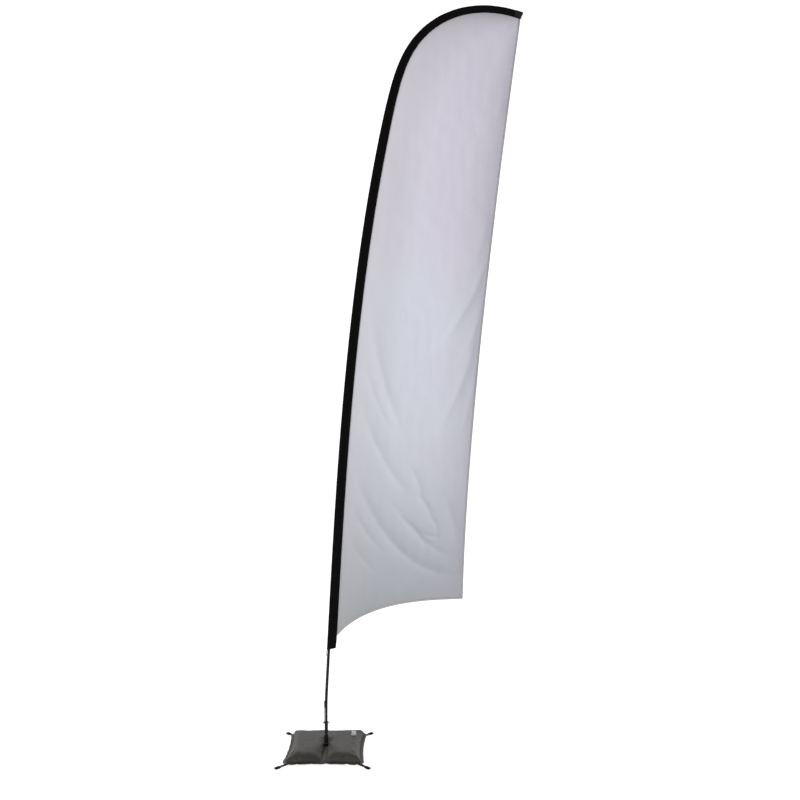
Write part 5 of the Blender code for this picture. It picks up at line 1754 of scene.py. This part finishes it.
def add_slit_lips():
    """The two welded lips that overlap in the slit's valley."""
    front = -BAG_HALF + SIDE_HOLLOW
    for side, name in ((-1, "slit_lip_left"), (1, "slit_lip_right")):
        mesh = grid(*LIP_CELLS, *LIP_SIZE)
        flat = points_of(mesh)
        y = front + (LIP_HOLE_END - front) * flat[:, 1]
        x = side * (-LIP_OVERLAP + LIP_REACH * flat[:, 0])
        wall = bag_height(np.full(len(x), SLIT_HALF + LIP_WALL_GAP), y)
        deep = LIP_FLOOR + LIP_FLOOR_SHARE * wall * (0.35 + 0.65 * flat[:, 1] ** 2)
        bend = (flat[:, 0] ** LIP_CURL) * (wall - deep) * LIP_CLIMB
        lap = LIP_LAP * side * (1.0 - flat[:, 0])
        waver = LIP_WAVER * np.sin(y * math.tau / LIP_WAVER_LENGTH)
        end = np.clip((y - front) / LIP_FRONT_FADE, 0.0, 1.0)
        height = np.maximum((deep + bend) * (0.25 + 0.75 * end) + lap + waver, LIP_LEAST_HEIGHT)
        move_points(mesh, np.stack([x, y, BAG_LOW + height], axis=1))
        subdivide(thicken(make_piece(name, mesh, "weld", "bag"), LIP_THICKNESS))


RING_SPLIT = math.radians(3)


def add_hole_ring():
    """The stiff welded ring round the centre hole, split where the slit begins."""
    low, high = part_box("hole_ring")
    inner = HOLE_RADIUS
    outer = high.x
    outline = [
        (inner, low.z + 0.0011),
        (inner + 0.0008, high.z),
        (inner + 0.0022, high.z + 0.0003),
        (inner + 0.0036, high.z - 0.0003),
        (outer - 0.0006, high.z - 0.0005),
        (outer, low.z + 0.0003),
        (outer, low.z),
        (inner, low.z),
    ]
    bm = turned(outline, math.tau - 2 * RING_SPLIT, -math.pi / 2 + RING_SPLIT)
    ring = make_piece("hole_ring_weld", bm, "bag_sheet", "bag")
    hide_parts("hole_ring")


# ---------------------------------------------------------------- filler


FILLER_NECK_RADIUS = 0.0100
FILLER_NECK_BORE = 0.0080
THREAD_DROPS = (0.0040, 0.0080)
THREAD_PROFILE = ((0.0, 0.0012), (0.0003, 0.0004), (0.0003, -0.0004), (0.0, -0.0012))


def add_filler_neck():
    """The threaded neck on its welded flange."""
    low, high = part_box("filler_neck")
    flange = (high.x - low.x) / 2
    neck = FILLER_NECK_RADIUS
    outline = [(FILLER_NECK_BORE, high.z), (neck - 0.0003, high.z)]
    for drop in THREAD_DROPS:
        outline += [(neck + out, high.z - drop + rise) for out, rise in THREAD_PROFILE]
    outline += [
        (neck, low.z + 0.0026),
        (neck + 0.0010, low.z + 0.0017),
        (flange - 0.0012, low.z + 0.0012),
        (flange, low.z + 0.0002),
        (flange, low.z),
        (FILLER_NECK_BORE, low.z),
    ]
    bm = turned(outline, middle=FILLER_PLACE)
    piece = make_piece("threaded_neck", bm, "white_plastic", "bag")
    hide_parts("filler_neck")


CAP_BORE = 0.0106
CAP_ROOF = 0.0020
CAP_RIBS = 36
RIB_DEPTH = 0.0006
CAP_FOOT = 0.0006
CAP_CROWN = ((0.0010, 0.0004), (0.0006, 0.0012))

# The rings of the cap's top, from its edge to its middle: (rise, size against the one before)
CAP_TOP = ((0.0, 0.62), (-0.0008, 0.97), (0.0, 0.72), (0.0005, 0.90))
PLUG = ((0.0, 0.0001), (0.0030, 0.0), (0.0048, -0.0003), (0.0054, -0.0008), (0.0, -0.0009))


def add_filler_cap():
    """The screw cap with its grip ribs, and the grey plug in its top."""
    low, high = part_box("filler_cap")
    outer = (high.x - low.x) / 2
    wall = outer - RIB_DEPTH
    ceiling = high.z - CAP_ROOF
    crown = sum(rise for rise, _ in CAP_CROWN)
    bm = bmesh.new()
    bmesh.ops.create_circle(bm, segments=2 * CAP_RIBS, radius=wall, cap_ends=True)
    face = bm.faces[:][0]
    bmesh.ops.translate(bm, vec=(0.0, 0.0, low.z), verts=bm.verts)
    for rise, shrink in ((CAP_FOOT, 0.0), (high.z - low.z - CAP_FOOT - crown, 0.0), *CAP_CROWN):
        face = raise_face(bm, face, rise, 1.0 - shrink / outer)
    for rise, size in CAP_TOP:
        face = raise_face(bm, face, rise, size)
    side = [face for face in bm.faces if abs(face.normal.z) < 0.1 and face.calc_area() > TINY]
    side.sort(key=lambda face: math.atan2(face.calc_center_median().y, face.calc_center_median().x))
    tall = [
        face
        for face in side
        if face.calc_center_median().z < ceiling and face.calc_center_median().xy.length > CAP_BORE
    ]
    for grip in bmesh.ops.extrude_discrete_faces(bm, faces=tall[::2])["faces"]:
        out = grip.calc_center_median().xy.normalized() * RIB_DEPTH
        bmesh.ops.translate(bm, vec=(*out, 0.0), verts=list(grip.verts))
    rim = [edge for edge in bm.edges if edge.is_boundary]
    for scale, rise in ((CAP_BORE / wall, 0.0), (1.0, ceiling - low.z)):
        verts = verts_of(bmesh.ops.extrude_edge_only(bm, edges=rim)["geom"])
        bmesh.ops.scale(bm, vec=(scale, scale, 1.0), verts=verts)
        bmesh.ops.translate(bm, vec=(0.0, 0.0, rise), verts=verts)
        rim = [edge for edge in bm.edges if edge.is_boundary]
    bmesh.ops.holes_fill(bm, edges=rim)
    bmesh.ops.translate(bm, vec=(*FILLER_PLACE, 0.0), verts=bm.verts)
    cap = make_piece("ribbed_cap", bm, "white_plastic", "cap")
    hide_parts("filler_cap")
    bm = turned([(radius, high.z + rise) for radius, rise in PLUG], middle=FILLER_PLACE)
    make_piece("cap_plug", bm, "grey_plastic", "cap")


# ---------------------------------------------------------------- stage


WHITE = (1.0, 1.0, 1.0, 1.0)
SENSOR_WIDTH = 36.0


def add_light(name, place, target, size, power, tint):
    """A rectangular area light aimed at a point."""
    data = bpy.data.lights.new(name, "AREA")
    data.shape = "RECTANGLE"
    data.size, data.size_y = size
    data.energy = power
    data.color = tint
    light = bpy.data.objects.new(name, data)
    light.location = place
    light.rotation_euler = (Vector(target) - Vector(place)).to_track_quat("-Z", "Y").to_euler()
    bpy.context.scene.collection.objects.link(light)


FLOOR_HALF_WIDTH = 14.0
FLOOR_FRONT = -12.0
FLOOR_BACK = 5.0
WALL_BEND = 3.0
WALL_BEND_STEPS = 16
WALL_HEIGHT = 9.0
BACKDROP_MERGE = 1e-5
BACKDROP_GLOW = 0.85


def add_backdrop():
    """A pale floor that sweeps up into a wall behind the flag."""
    bm = bmesh.new()
    verts = [bm.verts.new((side * FLOOR_HALF_WIDTH, FLOOR_FRONT, 0.0)) for side in (-1, 1)]
    made = bmesh.ops.extrude_edge_only(bm, edges=[bm.edges.new(verts)])["geom"]
    back = verts_of(made)
    bmesh.ops.translate(bm, vec=(0.0, FLOOR_BACK - FLOOR_FRONT, 0.0), verts=back)
    edge = [item for item in edges_of(made) if all(vert in back for vert in item.verts)]
    bent = bmesh.ops.spin(
        bm,
        geom=back + edge,
        cent=(0.0, FLOOR_BACK, WALL_BEND),
        axis=(1, 0, 0),
        angle=math.pi / 2,
        steps=WALL_BEND_STEPS,
    )["geom_last"]
    made = bmesh.ops.extrude_edge_only(bm, edges=edges_of(bent))["geom"]
    bmesh.ops.translate(bm, vec=(0.0, 0.0, WALL_HEIGHT), verts=verts_of(made))
    bmesh.ops.remove_doubles(bm, verts=bm.verts, dist=BACKDROP_MERGE)
    mesh = bpy.data.meshes.new("backdrop")
    bm.to_mesh(mesh)
    bm.free()
    mesh.shade_smooth()
    finish = Finish("backdrop_finish", (0.70, 0.70, 0.70), 0.9)
    finish.set("Emission Color", WHITE)
    finish.set("Emission Strength", BACKDROP_GLOW)
    mesh.materials.append(finish.material)
    floor = bpy.data.objects.new("backdrop", mesh)
    bpy.context.scene.collection.objects.link(floor)


def add_camera():
    """The camera, level and square on to the flag."""
    stage = settings().stage
    data = bpy.data.cameras.new("camera")
    data.lens = stage.lens
    data.sensor_width = SENSOR_WIDTH
    camera = bpy.data.objects.new("camera", data)
    camera.location = (stage.side, -stage.distance, stage.height)
    camera.rotation_euler = (math.pi / 2, 0.0, 0.0)
    bpy.context.scene.collection.objects.link(camera)
    bpy.context.scene.camera = camera


# Each light's name, place, target, size, share of the main light's power and colour
LIGHTS = (
    ("key_light", (-3.4, -3.6, 5.0), (0.5, 0.0, 2.2), (1.6, 2.6), 1.0, (1.0, 1.0, 1.0)),
    ("fill_light", (4.5, -5.0, 3.0), (0.6, 0.0, 2.4), (3.5, 3.5), 0.20, (0.97, 0.98, 1.0)),
    ("back_light", (1.5, 3.5, 5.0), (0.5, 0.0, 2.2), (3.0, 2.0), 0.15, (1.0, 1.0, 1.0)),
)


def light_stage():
    """A soft key from the upper front left, a broad fill and even light all round."""
    stage = settings().stage
    for name, place, target, size, share, tint in LIGHTS:
        add_light(name, place, target, size, stage.key * share, tint)
    world = bpy.data.worlds.new("studio")
    world.use_nodes = True
    sky = world.node_tree.nodes["Background"]
    sky.inputs["Color"].default_value = WHITE
    sky.inputs["Strength"].default_value = stage.sky
    bpy.context.scene.world = world
    bpy.context.scene.view_settings.view_transform = "Standard"


# ---------------------------------------------------------------- operators and panel


class FEATHERFLAG_OT_finishes(bpy.types.Operator):
    """Makes the finishes and gives each node of the frame its own"""

    bl_idname = "feather_flag.finishes"
    bl_label = "Finishes"

    def execute(self, context):
        make_finishes()
        for part in frame["record"]["subparts"]:
            node = frame["nodes"][part["node"]]
            node.data.materials.clear()
            node.data.materials.append(FINISHES[part["material_slot"]])
        return {"FINISHED"}


class FEATHERFLAG_OT_flag(bpy.types.Operator):
    """Makes the flag's cloth with its folds, hems, tape and stitches"""

    bl_idname = "feather_flag.flag"
    bl_label = "Flag Cloth"

    def execute(self, context):
        panel, flat_area = add_panel()
        trims = [
            add_hem("leech_turned_hem", leech, LEECH_LENGTH, "leech_hem"),
            add_hem("bottom_turned_hem", low_edge, LOW_EDGE_LENGTH, "bottom_hem"),
            add_tape(),
            add_flag_stitches(),
        ]
        return {"FINISHED"}


class FEATHERFLAG_OT_sleeve(bpy.types.Operator):
    """Makes the pole sleeve with its hem, tip pocket and stitches"""

    bl_idname = "feather_flag.sleeve"
    bl_label = "Sleeve"

    def execute(self, context):
        add_sleeve()
        add_sleeve_hem()
        add_tip_patch()
        add_tip_end()
        add_sleeve_stitches()
        return {"FINISHED"}


class FEATHERFLAG_OT_pole(bpy.types.Operator):
    """Makes the lowest pole tube, its foot ferrule, the spindle and its housing"""

    bl_idname = "feather_flag.pole"
    bl_label = "Pole and Spindle"

    def execute(self, context):
        add_pole()
        add_foot_ferrule()
        add_spindle()
        add_housing()
        return {"FINISHED"}


class FEATHERFLAG_OT_tether(bpy.types.Operator):
    """Makes the hook collar and the tether that pulls the sleeve down to it"""

    bl_idname = "feather_flag.tether"
    bl_label = "Collar and Tether"

    def execute(self, context):
        add_collar()
        add_tether()
        return {"FINISHED"}


class FEATHERFLAG_OT_shoes(bpy.types.Operator):
    """Makes the rubber shoes on the four leg ends"""

    bl_idname = "feather_flag.shoes"
    bl_label = "Rubber Shoes"

    def execute(self, context):
        for node in sorted(name for name in frame["nodes"] if name.startswith("leg_cap_")):
            add_leg_cap(node)
        return {"FINISHED"}


class FEATHERFLAG_OT_bag(bpy.types.Operator):
    """Makes the filled water bag with its rim, slit lips and hole ring"""

    bl_idname = "feather_flag.bag"
    bl_label = "Water Bag"

    def execute(self, context):
        add_bag()
        add_flange()
        add_slit_lips()
        add_hole_ring()
        return {"FINISHED"}


class FEATHERFLAG_OT_filler(bpy.types.Operator):
    """Makes the filler neck and its screw cap"""

    bl_idname = "feather_flag.filler"
    bl_label = "Filler"

    def execute(self, context):
        add_filler_neck()
        add_filler_cap()
        return {"FINISHED"}


class FEATHERFLAG_OT_stage(bpy.types.Operator):
    """Makes the pale floor, the soft light and the camera"""

    bl_idname = "feather_flag.stage"
    bl_label = "Stage"

    def execute(self, context):
        add_backdrop()
        light_stage()
        add_camera()
        return {"FINISHED"}


STEPS = (
    FEATHERFLAG_OT_finishes,
    FEATHERFLAG_OT_flag,
    FEATHERFLAG_OT_sleeve,
    FEATHERFLAG_OT_pole,
    FEATHERFLAG_OT_tether,
    FEATHERFLAG_OT_shoes,
    FEATHERFLAG_OT_bag,
    FEATHERFLAG_OT_filler,
    FEATHERFLAG_OT_stage,
)


class FEATHERFLAG_PT_panel(bpy.types.Panel):
    """Lists the flag's settings and its building steps"""

    bl_idname = "FEATHERFLAG_PT_panel"
    bl_label = "Feather Flag"
    bl_space_type = "VIEW_3D"
    bl_region_type = "UI"
    bl_category = "Feather Flag"

    def draw(self, context):
        values = context.scene.feather_flag
        for group in (values.cloth, values.bag, values.colours, values.stage):
            box = self.layout.box()
            for name in group.__annotations__:
                box.prop(group, name)
        for step in STEPS:
            self.layout.operator(step.bl_idname)


GROUPS = (ClothSizes, BagSizes, FinishColours, StageSizes, FeatherFlagSettings)
CLASSES = (*GROUPS, *STEPS, FEATHERFLAG_PT_panel)


def register():
    """Registers the settings, the operators and the panel."""
    for item in CLASSES:
        bpy.utils.register_class(item)
    bpy.types.Scene.feather_flag = PointerProperty(type=FeatherFlagSettings)


def unregister():
    """Removes what register added."""
    del bpy.types.Scene.feather_flag
    for item in reversed(CLASSES):
        bpy.utils.unregister_class(item)


def main():
    """Registers the settings, then builds every group of pieces in order."""
    register()
    for step in STEPS:
        group, name = step.bl_idname.split(".")
        getattr(getattr(bpy.ops, group), name)()


if __name__ == "__main__":
    main()
